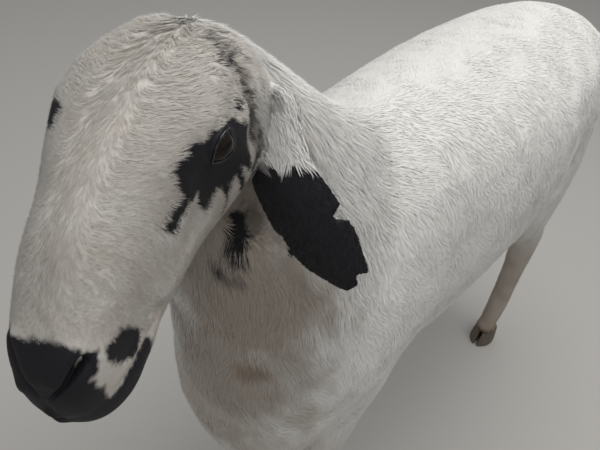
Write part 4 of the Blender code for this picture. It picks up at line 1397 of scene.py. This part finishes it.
def rim(side, word, look):
    turns = np.linspace(0, 2 * math.pi, RIM_POINTS, endpoint=False)
    path = []
    for turn in turns:
        across = OPEN_LONG * 0.985 * math.cos(turn)
        top, bottom = almond_height(np.array([across]))
        upward = float((top if math.sin(turn) >= 0 else bottom)[0]) * abs(math.sin(turn)) ** 0.15
        path.append(on_ball(side, across, upward, EYE_RADIUS + 0.0005))
    path = relax(np.array(path), np.array([(i, (i + 1) % RIM_POINTS) for i in range(RIM_POINTS)]), 0.5, 3)
    radii = np.full(RIM_POINTS, RIM_RADIUS)
    obj = new_object("rim_" + word, tube("rim_" + word, from_head(path), radii, RIM_RING, True))
    obj.data.materials.append(look)
    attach(obj, "root")


def lashes(side, word, look):
    shape = bmesh.new()
    for k in range(15):
        across = OPEN_LONG * (-0.70 + 1.35 * k / 14)
        upward = float(almond_height(np.array([across]))[0][0])
        start = on_ball(side, across, upward, EYE_RADIUS + 0.0008)
        looks, front, lift = eye_axes(side)
        way = unit(looks * 0.8 + lift * 0.05 + front * (across * 0.5 + chance.uniform(-0.12, 0.12)))
        reach = chance.uniform(0.0022, 0.0038)
        path = [start + way * reach * t + lift * (-0.0035 * t * t) for t in (0, 0.33, 0.66, 1.0)]
        strand_mesh = tube("lash", from_head(np.array(path)), (0.00022, 0.0002, 0.00014, 0.00004), 4, False)
        shape.from_mesh(strand_mesh)
        bpy.data.meshes.remove(strand_mesh)
    mesh = bpy.data.meshes.new("lashes_" + word)
    shape.to_mesh(mesh)
    shape.free()
    mesh.materials.append(look)
    obj = new_object("lashes_" + word, mesh)
    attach(obj, "root")


eye_look = eye_material()
rim_look = plain_material("wet_skin_look", (0.010, 0.008, 0.009), 0.22)
for side, word in SIDES:
    eyeball(side, word, eye_look)
    rim(side, word, rim_look)
    lashes(side, word, rim_look)
print("eyes in")

# %% [markdown]
# ## Hooves
#
# Horn grows in rings. Each foot's two claws and two dewclaws are remeshed finely, smoothed,
# and given shallow rings that follow the ground. A dewclaw whose middle is more than three
# millimetres off the skin is drawn in to that distance.

# %% Hooves
HORN_VOXEL = 0.0014
HOOF_TOP = 0.048  # only dewclaws stand above this
RING_DEPTH, RING_SPACING = 0.00014, 0.0052


def horn_material():
    look, tree, surface = new_material("horn_look")
    stretch = tree.nodes.new("ShaderNodeMapping")
    stretch.inputs["Scale"].default_value = (90, 90, 14)
    tree.links.new(tree.nodes.new("ShaderNodeTexCoord").outputs["Object"], stretch.inputs["Vector"])
    grain = noise_of(tree, stretch.outputs["Vector"], 1.0, 3.0)
    colour = mix_colour(tree, grain, (0.030, 0.024, 0.019, 1), (0.17, 0.135, 0.095, 1))
    tree.links.new(colour, surface.inputs["Base Color"])
    surface.inputs["Roughness"].default_value = 0.55
    add_bump(tree, surface, grain, 0.4, 0.0004)
    return look


horn_look = horn_material()
for foot in FEET:
    nodes = [f"{kind}_{foot}_{which}" for kind in ("claw", "dewclaw") for which in ("outer", "inner")]
    hoof = remeshed("hoof_" + foot, nodes, HORN_VOXEL)
    points, edges = points_of(hoof.data), edges_of(hoof.data)
    points = relax(points, edges, 0.5, 10)
    put_points(hoof.data, points)
    for centre in dewclaws_of(foot):
        spot = np.array(skin_tree.find_nearest(centre)[0])
        gap = np.linalg.norm(spot - centre)
        own = (np.linalg.norm(points - centre, axis=1) < 0.016) & (points[:, 2] > HOOF_TOP)
        points[own] += (spot - centre) * max(0.0, 1 - DEWCLAW_TOUCH / gap)
    outward = normals_of(hoof.data) * np.array([1, 1, 0])
    level = points[:, 2] + 0.12 * (points[:, 1] - points[:, 1].mean())
    points += outward * (RING_DEPTH * np.sin(level * (2 * math.pi / RING_SPACING)))[:, None]
    points[:, 2] = np.maximum(points[:, 2], 0.0)
    put_points(hoof.data, points)
    hoof.data.materials.clear()
    hoof.data.materials.append(horn_look)
    hoof.data.shade_smooth()
    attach(hoof, "root")
    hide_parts(*nodes)
print("hooves on")

# %% [markdown]
# ## Floor, light and camera
#
# The floor is plain and pale. The light is that of a bright overcast day: a large soft panel
# overhead, a weaker one from the front, and a little from all round. The camera stands close
# to the sheep's left cheek, a little above its head, and looks down along its back.

# %% Floor and light
FLOOR_SIZE = 14.0
CAMERA_PLACE = Vector((0.315, -0.703, 1.118))
CAMERA_LOOKS = Vector((-0.447, 0.650, -0.615)).normalized()
CAMERA_RIGHT = Vector((0.772, 0.627, 0.105))
LENS = 39.0  # millimetres, on a sensor 36 wide


def soft_panel(name, place, towards, size, power, colour):
    light = bpy.data.lights.new(name, "AREA")
    light.shape = "DISK"
    light.size = size
    light.energy = power
    light.color = colour
    obj = new_object(name, light)
    obj.location = place
    obj.rotation_euler = (Vector(towards) - Vector(place)).to_track_quat("-Z", "Y").to_euler()
    return obj


def floor_material():
    look, _, surface = new_material("floor_pale")
    surface.inputs["Base Color"].default_value = (0.44, 0.425, 0.40, 1.0)
    surface.inputs["Roughness"].default_value = 0.9
    return look


floor_mesh = bpy.data.meshes.new("floor")
half = FLOOR_SIZE / 2
corners = [(-half, -half, 0), (half, -half, 0), (half, half, 0), (-half, half, 0)]
floor_mesh.from_pydata(corners, [], [(0, 1, 2, 3)])
floor_mesh.materials.append(floor_material())
floor = new_object("floor", floor_mesh)

soft_panel("sky_panel", (0.4, 0.5, 3.3), (0, 0, 0.6), 3.0, 77, (1.0, 0.99, 0.97))
soft_panel("front_panel", (1.6, -2.6, 1.9), (0, -0.3, 0.6), 1.8, 10, (1.0, 0.98, 0.95))
world = bpy.data.worlds.new("studio")
bpy.context.scene.world = world
world.use_nodes = True
world.node_tree.nodes["Background"].inputs["Color"].default_value = (0.93, 0.96, 1.0, 1.0)
world.node_tree.nodes["Background"].inputs["Strength"].default_value = 0.33
bpy.context.scene.view_settings.view_transform = "Standard"

# %% Camera
right = (CAMERA_RIGHT - CAMERA_LOOKS * CAMERA_RIGHT.dot(CAMERA_LOOKS)).normalized()
up = right.cross(CAMERA_LOOKS)
turned = Matrix((right, up, -CAMERA_LOOKS)).transposed().to_4x4()
camera = new_object("camera", bpy.data.cameras.new("camera"))
camera.data.lens = LENS
camera.data.sensor_width = 36.0
camera.data.clip_start = 0.02
camera.data.clip_end = 40.0
camera.matrix_world = Matrix.Translation(CAMERA_PLACE) @ turned
bpy.context.scene.camera = camera
